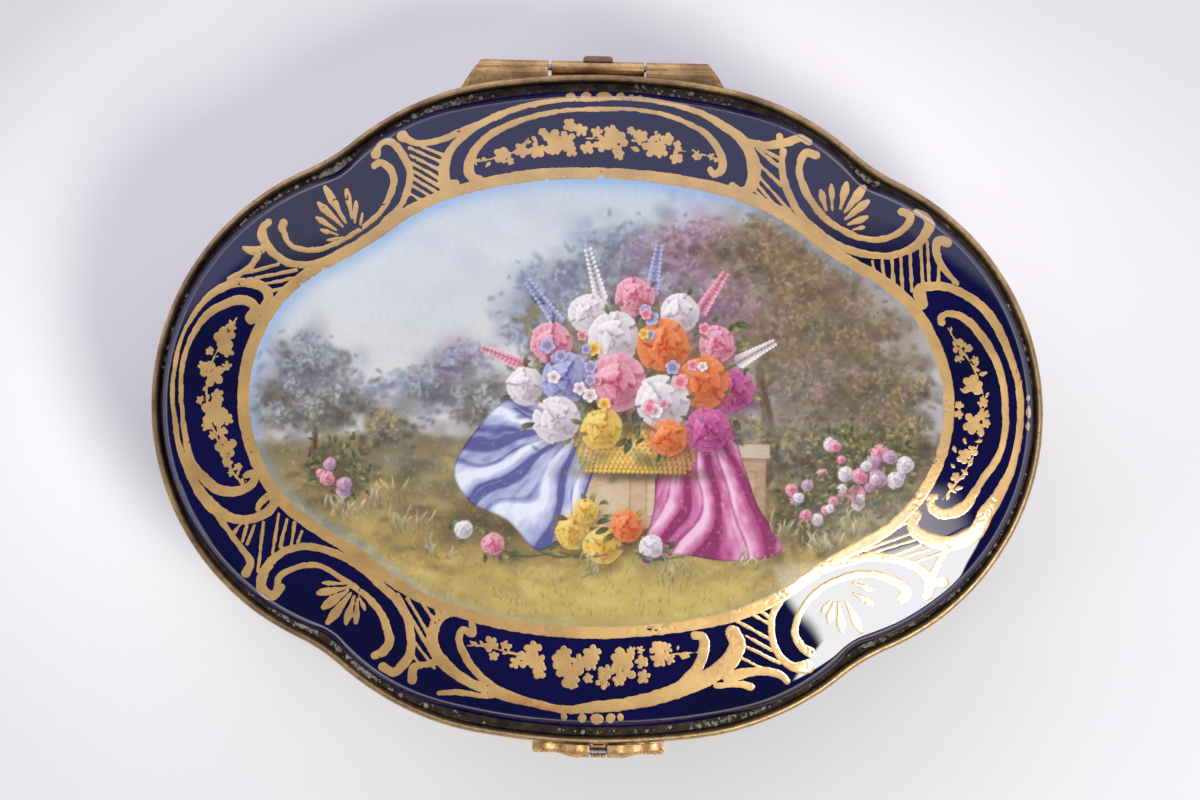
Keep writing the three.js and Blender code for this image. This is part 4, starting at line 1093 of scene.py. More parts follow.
# Each line of hatching runs from its first two numbers to its last two.
HATCHING = [
    (-26.1, 37.3, -22.3, 35.9), (-27.9, 37.1, -22.5, 34.8), (-27.7, 36, -23, 33.8), (-27.5, 34.9, -23.4, 32.7),
    (-27.3, 33.8, -23.4, 31.6), (-27.2, 32.7, -23.4, 30.5), (-27.3, 31.6, -23.6, 29.5), (-27.7, 30.5, -25.3, 29.1),
    (-51.2, 18.5, -46.4, 19.9), (-50.8, 17.6, -43.8, 19.1), (-49.6, 16.7, -43, 18.2), (-47.8, 15.9, -43.6, 16.9),
    (-47.2, 14.9, -45, 15.4),
    (-51, -17.6, -51.9, -18.8), (-50.1, -17.8, -50.7, -20.1), (-49, -17.8, -50, -20.5),
    (-47.7, -17.3, -48.4, -24.4), (-45.5, -16, -46.3, -21.7), (-44.3, -16.8, -45.2, -20.8),
    (-43.2, -17.2, -43.6, -20.5), (-42.1, -18.5, -42.7, -20.1), (-28.1, -27.2, -23.3, -35.3),
    (-26.7, -27.8, -23.5, -33), (-24.6, -28.4, -22.7, -30.9), (-22.8, -29, -21.9, -30.2),
    (-26.1, -33.4, -22.6, -37.8), (-26, -35.7, -24.5, -37.7),
    (22.8, 38.1, 25.3, 36.8), (22.1, 38.1, 25.5, 35.4), (22.5, 35.8, 25.7, 32.9), (22.6, 34, 29.5, 26.5),
    (22.2, 33, 26.1, 28.5), (22.1, 31.9, 25.8, 28.5), (21.6, 31, 23.8, 29.9), (39.1, 22.2, 39.4, 20.8),
    (40.5, 22.5, 40.8, 20.1), (41.9, 22.8, 42.2, 19.1), (43.2, 23, 43.6, 17.2), (44.5, 23.6, 44.9, 18.1),
    (46.1, 24.5, 46.4, 19.2), (47, 25.2, 47.4, 19.3), (48.8, 23.5, 48.7, 19.1),
    (24.1, -28.5, 25.5, -29.4), (23, -29, 25.4, -30.3), (20.6, -29.9, 25.5, -32.5), (22.1, -32.1, 25.8, -34.1),
    (22.1, -33.6, 27.1, -36), (21.4, -35.2, 25.3, -37.2), (44.8, -15.3, 39.8, -18.2),
    (45.4, -16.9, 37.8, -19.7), (46, -17.8, 36.4, -20.8), (46.9, -18.5, 43.1, -20), (48.1, -19.1, 44.9, -20.1),
    (51.4, -19, 46.4, -20.9),
]
HATCH_WIDTH = 0.42
# The small lobes outside the scrolls: each is its place and its size along x and y.
BACK_TEETH = [
    (-4.9, 45.2, 1.4, 1.3), (-2.6, 45.3, 1.5, 1.4), (0, 45.3, 2.2, 1.5), (2.3, 45.3, 1.3, 1.4),
    (3.9, 45.2, 0.9, 1.2), (5.2, 45.1, 0.7, 0.9),
]
FRONT_TEETH = [
    (-3.8, -44.4, 0.9, 1.4), (-1.2, -44.6, 1.3, 1.5), (0.9, -44.7, 1.9, 1.8), (2.9, -44.5, 1.3, 1.6),
    (4.3, -44.3, 0.9, 1.3), (62.2, 3.1, 0.7, 0.9), (62.3, 1, 0.9, 2), (62.2, -1, 0.8, 1.4),
]

# The garlands: each bloom is its place and radius; the smallest are leaves
BACK_GARLAND = [
    (-14.5, 36.3, 1.13), (-11.7, 37.1, 1.07), (-9.5, 37.1, 1.13), (-7.1, 38.3, 1.6), (-5.3, 38.7, 1.3),
    (-4.7, 37.2, 0.9), (-6.8, 37.3, 0.9), (1.1, 40, 1), (0, 38.2, 1.2), (2, 38.4, 1.6), (2.2, 36.8, 0.8),
    (5.4, 39.5, 0.95), (7.6, 39.4, 0.77), (9.1, 39.1, 0.9), (7.2, 37.9, 1.4), (8.4, 37.4, 0.9), (10.6, 36.5, 0.9),
    (13.5, 37, 0.7), (-16.5, 34.9, 0.42), (-13.2, 35.5, 0.53), (-10.9, 38.4, 0.53), (-9.9, 38.7, 0.42),
    (-8.7, 39.8, 0.6), (-4.9, 40.8, 0.9), (-3.3, 40.1, 0.9), (-2.3, 37.6, 0.9), (-0.9, 40, 0.77),
    (3.9, 40.2, 0.6), (4.6, 37.6, 0.48), (10.7, 38.4, 0.53), (-18.3, 35.3, 0.5), (15.6, 36.8, 0.5),
]
FRONT_GARLAND = [
    (-14.6, -34.1, 1), (-14.1, -35.8, 0.65), (-12.4, -34.3, 0.7), (-11, -36.8, 0.83), (-8.5, -34.7, 1.1),
    (-9.2, -36.2, 1.35), (-7.5, -37.9, 1), (-7.8, -36.4, 1.1), (-4, -35.2, 1), (-4.3, -36.3, 1.4),
    (-3.2, -38.1, 1.7), (-2.6, -39.4, 0.9), (-1.9, -36.3, 1.1), (0, -35.1, 1.25), (-0.1, -36.6, 1),
    (-0.4, -38.8, 0.7), (2.1, -37.7, 1.1), (1.7, -39.2, 0.95), (4.3, -35.9, 1.65), (4.6, -37.5, 1.7),
    (3.9, -38.8, 0.9), (5.7, -34.6, 0.7), (7, -34.5, 0.6), (7.1, -36.1, 0.95), (7.5, -38.3, 0.9), (9.4, -34.3, 1),
    (9.8, -35.7, 1.07), (11.3, -35.7, 0.7), (10.7, -34.2, 0.83), (13.2, -35.1, 0.5), (12.4, -33.9, 0.36),
    (-16.8, -34.2, 0.45),
]
RIGHT_GARLAND = [
    (51.9, 10.3, 1), (52, 8.4, 0.6), (53.2, 10, 0.56), (54.2, 8.3, 0.56), (54.4, 7, 0.42), (54, 4.7, 1.4),
    (52.7, 3.9, 0.46), (55.5, 6.4, 0.37), (56.1, 3.3, 0.37), (55.5, 2.2, 0.8), (52.1, 1.8, 0.56), (52, 0.4, 0.6),
    (54.1, -0.8, 1.35), (55.7, 0.6, 0.8), (56.1, -0.8, 0.56), (55.3, -2.1, 0.51), (54.9, -3.4, 0.46),
    (53, -3.4, 0.32), (54.1, -4.7, 0.65), (52.9, -5.5, 0.93), (51.6, -4.6, 0.37), (53.9, -6.4, 0.42),
    (51.3, -6.9, 0.42), (53, -7.8, 0.46), (51.8, -8.6, 0.65), (51.1, -10, 0.46), (52.4, -10.2, 0.42),
    (50.7, -11.6, 0.42),
]
LEFT_GARLAND = [
    (-52.9, 10.8, 0.73), (-53.9, 9, 1.5), (-53.4, 7.2, 0.87), (-56, 7.2, 0.6), (-55.5, 3.9, 1.65),
    (-57, 5.1, 0.6), (-53.6, 5.1, 0.7), (-57.2, 0.1, 0.6), (-54.7, 0.9, 0.87), (-55.1, -1.6, 1.8),
    (-53.2, -2.6, 0.8), (-56.3, -3.6, 0.6), (-54, -4.4, 0.8), (-55.3, -4.9, 0.6), (-53.4, -6.6, 1.45),
    (-53, -8.9, 0.7), (-51.6, -9.4, 0.6), (-52.6, -10.2, 0.55), (-50.8, -11.6, 0.55),
]
GARLANDS = {
    "back": (BACK_GARLAND, [
        [(-19.4, 35), (-16.5, 35.6), (-14, 36.4), (-11, 37.3)], [(9.5, 37.8), (12.5, 37.3), (15, 36.9), (17.3, 36)],
        [(-2.6, 39), (-0.5, 39)], [(4.2, 38.8), (5.6, 38.9)],
    ]),
    "front": (FRONT_GARLAND, [
        [(-17.9, -34.4), (-15.6, -34.4), (-12, -35.2), (-8, -36)], [(8.5, -35.4), (12.3, -34.9), (15.4, -34.6)],
    ]),
    "right": (RIGHT_GARLAND, [
        [(50.2, 12.9), (51.6, 10.6), (53.4, 8.2), (54.8, 5.4), (55.7, 1.9), (55.2, -2.8), (53.4, -7.3), (50, -11.9)],
    ]),
    "left": (LEFT_GARLAND, [
        [(-52.3, 12), (-54.2, 8.6), (-56, 4.4), (-56.2, -1), (-54.4, -6), (-52.4, -10), (-50.4, -12.2)],
    ]),
}


def gild_scrolls():
    pattern = Pattern((-63, 63.5), (-46.6, 46.6), 0.15)
    for scrolls, weight in (
        (BACK_LEFT_SCROLLS, 1), (FRONT_LEFT_SCROLLS, 0.76), (BACK_RIGHT_SCROLLS, 0.9), (FRONT_RIGHT_SCROLLS, 1),
    ):
        for scroll in scrolls:
            pattern.stroke([(x, y, weight * width) for x, y, width in scroll])
    for base, tip, width in FANS:
        pattern.petal(base, tip, width)
    for x0, y0, x1, y1 in HATCHING:
        pattern.stroke([(x0, y0, HATCH_WIDTH), (x1, y1, HATCH_WIDTH * 1.25)])
    for tooth in BACK_TEETH + FRONT_TEETH:
        pattern.lobe(*tooth)
    pattern.worn(60, 0.075)
    whole = pattern.field
    for side, beyond in (("back", -pattern.y), ("front", pattern.y)):
        pattern.field = np.maximum(whole, beyond)
        made = add_mesh(f"gilding_{side}_scrolls", pattern.shape(on_lid, 0.025), GOLD, 60)
        place(made, "lid", "gilding")


def twig(pattern, points, leaf=0.5):
    """A thin line with small leaves on both sides."""
    pattern.stroke([(x, y, 0.2) for x, y in points])
    line = spline(points, 1.0)
    for k, (a, b) in enumerate(zip(line, line[1:])):
        along = (b - a) / max(np.hypot(*(b - a)), 1e-6)
        aside = np.array([-along[1], along[0]]) * (1 if k % 2 else -1)
        pattern.petal(a, a + 0.55 * along + 0.6 * aside, leaf)


def gild_garlands():
    for k, (side, (blooms, stems)) in enumerate(GARLANDS.items()):
        places = np.array(blooms)
        (x0, y0), (x1, y1) = places[:, :2].min(0) - 3, places[:, :2].max(0) + 3
        pattern = Pattern((x0, x1), (y0, y1), 0.12)
        rng = np.random.default_rng(5 + k)
        for x, y, radius in blooms:
            pattern.bloom(x, y, radius * 1.16, rng)
        for stem in stems:
            pattern.stroke([(x, y, 0.22) for x, y in stem])
            for x, y in spline(stem, 1.1)[1:-1:2]:
                turn = rng.uniform(0, 2 * np.pi)
                pattern.petal((x, y), (x + 0.8 * np.cos(turn), y + 0.8 * np.sin(turn)), 0.42)
        pattern.worn(71 + k, 0.1)
        made = add_mesh(f"gilding_{side}_garland", pattern.shape(on_lid, 0.02), GOLD, 60)
        place(made, "lid", "gilding")


# The painted reserve: an oval, drawn in a little at its four diagonals
OVAL_CENTRE = (-0.18, 0.97)
OVAL_HALF = (49.9, 32.13)
OVAL_DRAWN_IN = 0.05
OVAL_DRAWN_ANGLE = np.radians(12.5)
BAND_WIDTH = 1.75


def oval_outside(x, y, cell):
    """How far grid points lie outside the painted oval."""
    u, v = (x - OVAL_CENTRE[0]) / OVAL_HALF[0], (y - OVAL_CENTRE[1]) / OVAL_HALF[1]
    turn = np.arctan2(np.abs(v), np.abs(u)) - np.pi / 4
    factor = 1 - OVAL_DRAWN_IN * np.exp(-((turn / OVAL_DRAWN_ANGLE) ** 2))
    value = np.hypot(u, v) / factor - 1
    slope_y, slope_x = np.gradient(value, cell)
    return value / np.maximum(np.hypot(slope_x, slope_y), 1e-3)


def gild_band():
    pattern = Pattern((-53, 53), (-34, 35.5), 0.18)
    away = oval_outside(pattern.x, pattern.y, pattern.cell)
    width = BAND_WIDTH * (1 + 0.08 * noise(pattern.x, pattern.y, 11, 80))
    pattern.field = np.abs(away - width / 2) - width / 2
    pattern.worn(81, 0.07)
    place(add_mesh("gilding_oval_band", pattern.shape(on_lid, 0.03), GOLD, 60), "lid", "gilding")


class Painting:
    """A small enamel garden scene, laid with the touches of a fine brush on a grid."""

    CELL = 0.14

    def __init__(self):
        self.pattern = Pattern((-50.5, 50.5), (-32, 34), self.CELL)
        self.away = oval_outside(self.pattern.x, self.pattern.y, self.CELL)
        self.x, self.y = self.pattern.x, self.pattern.y
        self.paint = np.zeros((*self.x.shape, 3))
        self.rng = np.random.default_rng(2)

    def wash(self, colour, share):
        """Lays a colour over all, by a share that may vary."""
        share = np.clip(share, 0, 1)[..., None]
        self.paint = self.paint * (1 - share) + np.array(colour) * share

    def window(self, x, y, reach):
        """The part of the grid about a place, and how far its points lie from it."""
        i0, i1 = np.searchsorted(self.pattern.xs, [x - reach, x + reach])
        j0, j1 = np.searchsorted(self.pattern.ys, [y - reach, y + reach])
        return (slice(j0, j1), slice(i0, i1)), self.pattern.xs[i0:i1] - x, self.pattern.ys[j0:j1, None] - y

    def dab(self, x, y, length, width, angle, colour, strength=0.6):
        """One soft elliptical touch of the brush."""
        window, dx, dy = self.window(x, y, max(length, width) * 1.5)
        along, aside = dx * np.cos(angle) + dy * np.sin(angle), dy * np.cos(angle) - dx * np.sin(angle)
        share = strength * np.exp(-(((along / length) ** 2 + (aside / width) ** 2) ** 1.5))[..., None]
        under = self.paint[window]
        under += (np.array(colour) - under) * share

    def petal(self, x, y, length, width, angle, root, tip, bend=0.0, strength=0.95, fullness=1.4):
        """A crisp touch from a place outwards, shaded from root to tip, with fine streaks."""
        window, dx, dy = self.window(x, y, length + width)
        along = (dx * np.cos(angle) + dy * np.sin(angle)) / length
        share = np.clip(along, 0, 1)
        aside = dy * np.cos(angle) - dx * np.sin(angle) - bend * 4 * share * (1 - share)
        half = width / 2 * np.sin(np.pi * share**fullness) ** 0.65
        cover = np.clip((half - np.abs(aside)) / self.CELL + 0.5, 0, 1) * (along > 0) * (along < 1)
        rim = np.clip(np.abs(aside) / np.maximum(half, 1e-3), 0, 1) ** 3
        streak = 0.12 * np.sin(aside / width * 22 + 4 * share)
        blend = np.clip(share * 1.15 - 0.1 + 0.25 * rim + streak, 0, 1)[..., None]
        colour = np.array(root) * (1 - blend) + np.array(tip) * blend
        under = self.paint[window]
        under += (colour - under) * (strength * cover)[..., None]

    def line(self, points, colour, strength=0.7):
        """A drawn line through points (x, y, width)."""
        for x, y, width in spline(points, 0.12):
            self.dab(x, y, width * 0.6, width * 0.6, 0, colour, strength)

    def scatter(self, count, place_at, spread, sizes, colours, strength=0.6, angle=0.0, turn=0.8):
        """Many dabs about a place."""
        for _ in range(count):
            at = np.array(place_at) + self.rng.normal(0, 1, 2) * spread
            size = self.rng.uniform(*sizes)
            colour = self.tone(colours)
            self.dab(*at, size, size * self.rng.uniform(0.4, 0.8), angle + self.rng.normal(0, turn), colour, strength)

    def tone(self, colours):
        """One of the colours, a little lighter or darker."""
        return np.clip(np.array(colours[self.rng.integers(len(colours))]) * self.rng.uniform(0.9, 1.08), 0, 1)


def srgb(red, green, blue):
    return (red / 255, green / 255, blue / 255)


def to_linear(colour):
    colour = np.clip(colour, 0, 1)
    return np.where(colour <= 0.04045, colour / 12.92, ((colour + 0.055) / 1.055) ** 2.4)


SKY = srgb(206, 210, 208)
SKY_BLUE = srgb(158, 182, 202)
EDGE_BLUE = srgb(126, 164, 208)
OLIVES = [srgb(112, 104, 70), srgb(92, 86, 62), srgb(134, 122, 80), srgb(76, 70, 54), srgb(124, 104, 84)]
BROWNS = [srgb(104, 76, 56), srgb(128, 98, 68), srgb(84, 62, 50), srgb(150, 118, 82)]
HAZES = [srgb(136, 148, 168), srgb(152, 160, 178), srgb(118, 130, 150), srgb(140, 136, 150)]
GREYS = [srgb(126, 128, 122), srgb(106, 108, 102), srgb(142, 140, 132), srgb(120, 114, 118)]
STRAWS = [srgb(186, 160, 92), srgb(166, 142, 80), srgb(200, 178, 112), srgb(150, 130, 78)]
VIOLETS = [srgb(160, 122, 150), srgb(138, 108, 138), srgb(178, 140, 160), srgb(122, 100, 122)]
STONES = [srgb(206, 184, 154), srgb(176, 148, 118), srgb(222, 206, 180), srgb(188, 168, 160)]
LEAVES = [srgb(108, 118, 74), srgb(78, 88, 60), srgb(142, 140, 84), srgb(96, 96, 72)]
# Flower colours are a dark root and a light tip.
PINKS = (srgb(190, 70, 104), srgb(244, 190, 198))
MAGENTAS = (srgb(140, 32, 92), srgb(222, 116, 172))
ORANGES = (srgb(202, 70, 34), srgb(246, 156, 96))
CREAMS = (srgb(186, 168, 184), srgb(250, 244, 238))
LILACS = (srgb(98, 98, 158), srgb(196, 198, 230))
YELLOWS = (srgb(196, 134, 36), srgb(250, 222, 124))


def paint_sky(art):
    x, y = art.x, art.y
    art.wash(SKY, np.ones(x.shape))
    art.wash(SKY_BLUE, smooth(np.clip((y - 12) / 22, 0, 1)) * (0.5 + 0.3 * noise(x, y, 14, 99)))
    art.wash(srgb(180, 190, 202), 0.5 * smooth(np.clip(0.3 + layered_noise(x, y, 15, 100), 0, 1)))
    art.wash(srgb(212, 200, 188), 0.4 * np.exp(-(((x + 14) / 22) ** 2) - ((y - 6) / 7) ** 2))
    art.scatter(240, (-6, 20), (20, 8), (2, 5), [SKY, srgb(196, 202, 208), srgb(188, 198, 206)], 0.16, 0.1, 0.3)


def paint_distance(art):
    """Hills over water, with a row of small trees on the far shore."""
    x, y, rng = art.x, art.y, art.rng
    far = 4.6 + 2.4 * np.sin(x / 8 + 0.6) + 1.1 * np.sin(x / 3.4 + 2)
    near = 1.4 + 1.2 * np.sin(x / 6 + 1.5) + 0.6 * np.sin(x / 2.4)
    art.wash(srgb(192, 186, 200), 0.75 * smooth(np.clip((far - y) / 2.0, 0, 1)))
    art.wash(srgb(160, 160, 160), 0.7 * smooth(np.clip((near - y) / 1.4, 0, 1)))
    for at_x in np.arange(-44, 46, 1.7):
        place_at = (at_x + rng.uniform(-0.8, 0.8), 1.8 + rng.uniform(-0.8, 1.8))
        art.scatter(26, place_at, (0.9, 1.0), (0.25, 0.8), HAZES + GREYS, 0.4)
    art.wash(srgb(206, 204, 200), 0.85 * smooth(np.clip((-0.6 - y) / 1.2, 0, 1)))
    art.scatter(320, (-8, -2.2), (24, 0.9), (0.7, 2.4), [srgb(226, 222, 214), srgb(172, 172, 172)], 0.35, 0, 0.04)


def paint_meadow(art):
    x, y, rng = art.x, art.y, art.rng
    shore = -4 + 0.8 * np.sin(x / 6)
    low = smooth(np.clip((shore - y) / 1.4, 0, 1))
    art.wash(srgb(158, 144, 108), low)
    near = smooth(np.clip((-9 - y) / 14, 0, 1))
    art.wash(srgb(186, 160, 86), 0.85 * near)
    rough = smooth(np.clip(0.4 + layered_noise(x * 0.3, y * 1.5, 6, 110), 0, 1))
    art.wash(srgb(104, 92, 62), 0.55 * rough * low * (1 - 0.5 * near))
    bands = (
        (620, -7, 3, GREYS + OLIVES[:3]), (700, -13, 3.5, OLIVES + STRAWS[:2]), (620, -19, 3.5, OLIVES + STRAWS),
        (560, -26, 3, STRAWS + [srgb(214, 196, 120)]),
    )
    for count, at_y, spread, tones in bands:
        art.scatter(count, (0, at_y), (27, spread), (0.4, 2.0), tones, 0.32, 0.02, 0.14)
    art.wash(srgb(212, 192, 104), 0.55 * np.exp(-(((x - 6) / 20) ** 2) - ((y + 27) / 3.4) ** 2))
    for _ in range(1500):
        at = rng.uniform(-46, 46), rng.uniform(-30, -6)
        art.petal(*at, rng.uniform(0.5, 1.5), 0.22, rng.normal(1.5, 0.35), OLIVES[3], art.tone(STRAWS), strength=0.4)


def paint_foliage(art, x, y, reach, count, tones, light, crisp=0.55):
    """A crown of leaves: soft mass, darker below, with small lit leaves above and to the left."""
    rng = art.rng
    dark = [0.72 * np.array(tone) for tone in tones]
    art.scatter(count // 3, (x, y), (reach * 0.8, reach * 0.6), (1.2, 2.6), tones, 0.22)
    art.scatter(count, (x + 0.4, y - 0.3 * reach), (reach * 0.75, reach * 0.5), (0.3, 0.9), dark, crisp * 0.7)
    for clump in range(max(6, count // 30)):
        turn, out = rng.uniform(0, 2 * np.pi), reach * np.sqrt(rng.uniform(0, 1.3))
        at = np.array([x + out * np.cos(turn), y + 0.75 * out * np.sin(turn)])
        for _ in range(34):
            leaf = at + rng.normal(0, 0.13 * reach + 0.3, 2)
            lit = rng.random() < 0.32 + 0.25 * (leaf[1] > at[1])
            colour = art.tone(light if lit else tones)
            art.dab(*leaf, rng.uniform(0.22, 0.55), rng.uniform(0.14, 0.3), rng.uniform(0, 3), colour, crisp)


def paint_trees(art):
    shade = np.exp(-((np.hypot((art.x - 33) / 19, (art.y - 15) / 17)) ** 4))
    art.wash(srgb(142, 122, 106), 0.62 * shade * (0.8 + 0.3 * noise(art.x, art.y, 5, 140)))
    for line in (
        [(24, -10, 1.3), (24.6, -2, 1.1), (23.2, 6, 0.9), (25.4, 14, 0.6), (24, 21, 0.4)],
        [(24.2, 4, 0.7), (28, 10, 0.5), (31, 16, 0.3)],
        [(37, -10, 1.2), (36, 0, 0.9), (38, 8, 0.6), (36.6, 14, 0.35)],
        [(-41, -10, 0.8), (-40.6, -2, 0.6), (-41.6, 5, 0.4)],
    ):
        art.line([(x + 0.15, y, width) for x, y, width in line], BROWNS[2], 0.5)
        art.line([(x - 0.2 * width, y, width * 0.4) for x, y, width in line], BROWNS[3], 0.4)
    straw_light = [srgb(176, 154, 106), srgb(156, 140, 100), srgb(190, 164, 122)]
    pale = [srgb(178, 182, 190), srgb(168, 170, 172)]
    pinkish = [srgb(190, 160, 172), srgb(172, 150, 140)]
    for x, y, reach, count, tones, light in (
        (-4, 18, 5.0, 240, HAZES, pale), (3, 23, 4.4, 200, HAZES + GREYS[:1], pale), (-9, 12, 3.4, 130, HAZES, pale),
        (8, 17, 5.0, 220, HAZES[2:] + VIOLETS[:2], pale), (14, 24, 4.6, 220, VIOLETS + OLIVES[4:], pinkish),
        (18, 15, 4.6, 240, VIOLETS, pinkish), (24, 24, 4.8, 240, OLIVES + BROWNS[:2], straw_light),
        (30, 18, 5.2, 280, OLIVES + BROWNS[:2], straw_light), (26, 10, 4.6, 220, OLIVES + VIOLETS[3:], straw_light),
        (36, 12, 5.2, 280, OLIVES + GREYS[1:2], straw_light), (33, 4, 5.0, 240, GREYS + OLIVES, pinkish),
        (42, 4, 4.6, 240, OLIVES + GREYS[1:2], straw_light), (40, -4, 4.6, 220, OLIVES + BROWNS[:1], straw_light),
        (27, -4, 4.4, 200, OLIVES + GREYS, straw_light), (45, -4, 3.6, 120, OLIVES, straw_light),
        (-42, 6, 3.8, 200, GREYS + HAZES, pale), (-45, 0, 3.4, 160, GREYS + OLIVES[:1], pale),
        (-38, 0, 3.2, 140, GREYS + OLIVES[:1], pale), (-24, 3, 2.6, 120, HAZES + GREYS, pale),
        (-20, 7, 2.4, 90, HAZES + VIOLETS[:1], pale), (-17, 1, 3.0, 120, GREYS + OLIVES[:1], pale),
        (-30, -3, 2.6, 90, GREYS + OLIVES[:2], straw_light),
    ):
        paint_foliage(art, x, y, reach, count, tones, light)
    art.wash(srgb(138, 112, 90), 0.3 * shade)


def paint_block(art, x0, x1, y0, y1, colour, strength=1.0, soft=0.2):
    """A block with upright sides."""
    wide = np.clip((art.x - x0) / soft, 0, 1) * np.clip((x1 - art.x) / soft, 0, 1)
    art.wash(colour, strength * wide * np.clip((art.y - y0) / soft, 0, 1) * np.clip((y1 - art.y) / soft, 0, 1))


def paint_plinth(art):
    """A stone step with a panelled front, and its shadow on the grass."""
    x, y, rng = art.x, art.y, art.rng
    left, right, top, front, foot = -12, 25, -4.4, -6.6, -17
    art.wash(srgb(74, 62, 44), 0.75 * np.exp(-(((x - 4) / 26) ** 4) - ((y - foot) / 2.2) ** 2))
    paint_block(art, left, right, front, top, srgb(228, 214, 188))
    paint_block(art, left + 0.5, right - 0.5, foot, front, srgb(190, 164, 130))
    paint_block(art, left, right, front - 0.5, front, srgb(150, 124, 98), 0.7)
    for x0, x1 in ((left + 1.6, 5.2), (7, right - 1.8)):
        paint_block(art, x0, x1, foot + 1.6, front - 1.6, srgb(168, 140, 108), 0.9)
        paint_block(art, x0 + 0.35, x1 - 0.3, foot + 1.9, front - 1.9, srgb(204, 182, 148), 0.9)
    art.wash(srgb(120, 92, 72), 0.4 * np.clip((x - 12) / 14, 0, 1) * (x < right) * (y > foot) * (y < top))
    for _ in range(700):
        at = rng.uniform(left + 0.8, right - 0.8), rng.uniform(foot + 0.4, top - 0.3)
        art.dab(*at, rng.uniform(0.3, 1.3), rng.uniform(0.12, 0.4), rng.normal(0, 0.4), art.tone(STONES), 0.22)


def paint_cloth(art, outline, gather, folds, dark, middle, light, seed):
    """Cloth inside an outline, its folds spreading from where it is gathered."""
    edge = spline(np.vstack([outline, outline[:1]]), 0.5)
    low, high = edge.min(0) - 1, edge.max(0) + 1
    window, dx, dy = art.window(*(low + high) / 2, max(high - low) / 2)
    px, py = dx + (low[0] + high[0]) / 2, dy + (low[1] + high[1]) / 2
    inside = np.zeros(np.broadcast(px, py).shape, bool)
    away = np.full(inside.shape, 99.0)
    for (ax, ay), (bx, by) in zip(edge, edge[1:]):
        crosses = ((ay > py) != (by > py)) & (px < (bx - ax) * (py - ay) / (by - ay + 1e-12) + ax)
        inside ^= crosses
        t = np.clip(((px - ax) * (bx - ax) + (py - ay) * (by - ay)) / ((bx - ax) ** 2 + (by - ay) ** 2), 0, 1)
        away = np.minimum(away, np.hypot(px - ax - t * (bx - ax), py - ay - t * (by - ay)))
    turn = np.arctan2(py - gather[1], px - gather[0])
    reach = np.hypot(px - gather[0], py - gather[1])
    wave = folds * turn + 2.2 * noise(px + 0 * py, py + 0 * px, 7, seed) + 0.16 * reach
    fold = 0.5 + 0.5 * np.sin(wave)
    second = 0.5 + 0.5 * np.sin(1.9 * wave + 1.3 * noise(px + 0 * py, py + 0 * px, 4, seed + 2))
    brushed = 0.16 * noise(turn * 30, reach * 0.8, 1.1, seed + 1)
    crease = np.exp(-((fold / 0.09) ** 2)) + 0.6 * np.exp(-((second / 0.08) ** 2))
    glint = np.exp(-(((1 - fold) / 0.1) ** 2))
    value = np.clip(0.2 + 0.5 * fold**1.4 + 0.22 * second + brushed - 0.55 * crease + 0.25 * glint, 0, 1)[..., None]
    deep = np.array(dark) * (1 - np.clip(2 * value, 0, 1)) + np.array(middle) * np.clip(2 * value, 0, 1)
    colour = deep + (np.array(light) - deep) * np.clip(2 * value - 1, 0, 1)
    border = np.clip(1 - away / 0.35, 0, 1)[..., None]
    colour = colour * (1 - 0.35 * border)
    cover = np.clip(np.where(inside, away, -away) / art.CELL + 0.5, 0, 1)[..., None]
    under = art.paint[window]
    under += (colour - under) * cover * 0.96


def paint_rose(art, x, y, radius, tones, turn=0.0):
    """A full rose: broad outer petals, folded ones inside, a dark heart, lit from the upper left."""
    rng = art.rng
    dark, light = np.array(tones[0]), np.array(tones[1])
    middle = 0.5 * (dark + light)
    art.dab(x + 0.2 * radius, y - 0.35 * radius, radius * 1.05, radius * 0.9, 0, 0.35 * dark + 0.05, 0.6)
    art.dab(x, y, radius * 0.85, radius * 0.8, 0, middle, 0.95)
    for reach, start, count, width in ((1.0, 0.34, 6, 1.05), (0.7, 0.16, 4, 0.95), (0.42, 0.02, 3, 0.6)):
        first = turn + rng.uniform(0, 2)
        for k in range(count):
            angle = first + 2 * np.pi * k / count + rng.normal(0, 0.12)
            at = x + radius * start * np.cos(angle), y + radius * start * np.sin(angle)
            length = radius * (reach - start) * rng.uniform(0.9, 1.15)
            facing = 0.5 + 0.5 * np.cos(angle - 2.3)
            tip = light * (0.8 + 0.2 * facing)
            wide = radius * width * rng.uniform(0.9, 1.1)
            art.petal(at[0] + 0.04, at[1] - 0.08, length * 1.05, wide, angle, 0.7 * dark, 0.8 * dark, 0, 0.4)
            art.petal(*at, length, wide, angle, dark * 0.45 + middle * 0.55, tip, 0.12 * radius, 0.85, 2.2)
    for k in range(3):
        angle = turn + k * 2.1
        at = x + 0.08 * radius * np.cos(angle), y + 0.08 * radius * np.sin(angle)
        art.petal(*at, 0.28 * radius, 0.14 * radius, angle + 1.3, 0.65 * dark, dark, 0.06 * radius, 0.7)
    art.dab(x - 0.35 * radius, y + 0.4 * radius, 0.4 * radius, 0.22 * radius, 0.6, 0.4 * light + 0.6, 0.3)
    art.dab(x + 0.4 * radius, y - 0.45 * radius, 0.5 * radius, 0.3 * radius, 0.6, 0.7 * dark, 0.35)


def paint_small_flower(art, x, y, radius, tones, petals=5):
    turn = art.rng.uniform(0, 2)
    dark, light = np.array(tones[0]), np.array(tones[1])
    art.dab(x + 0.1, y - 0.25, radius, radius * 0.9, 0, 0.4 * dark, 0.45)
    for k in range(petals):
        angle = turn + 2 * np.pi * k / petals
        art.petal(x, y, radius, radius * 4.2 / petals, angle, dark, light, 0, 0.95, 1.7)
    art.dab(x, y, radius * 0.22, radius * 0.22, 0, YELLOWS[0], 0.95)


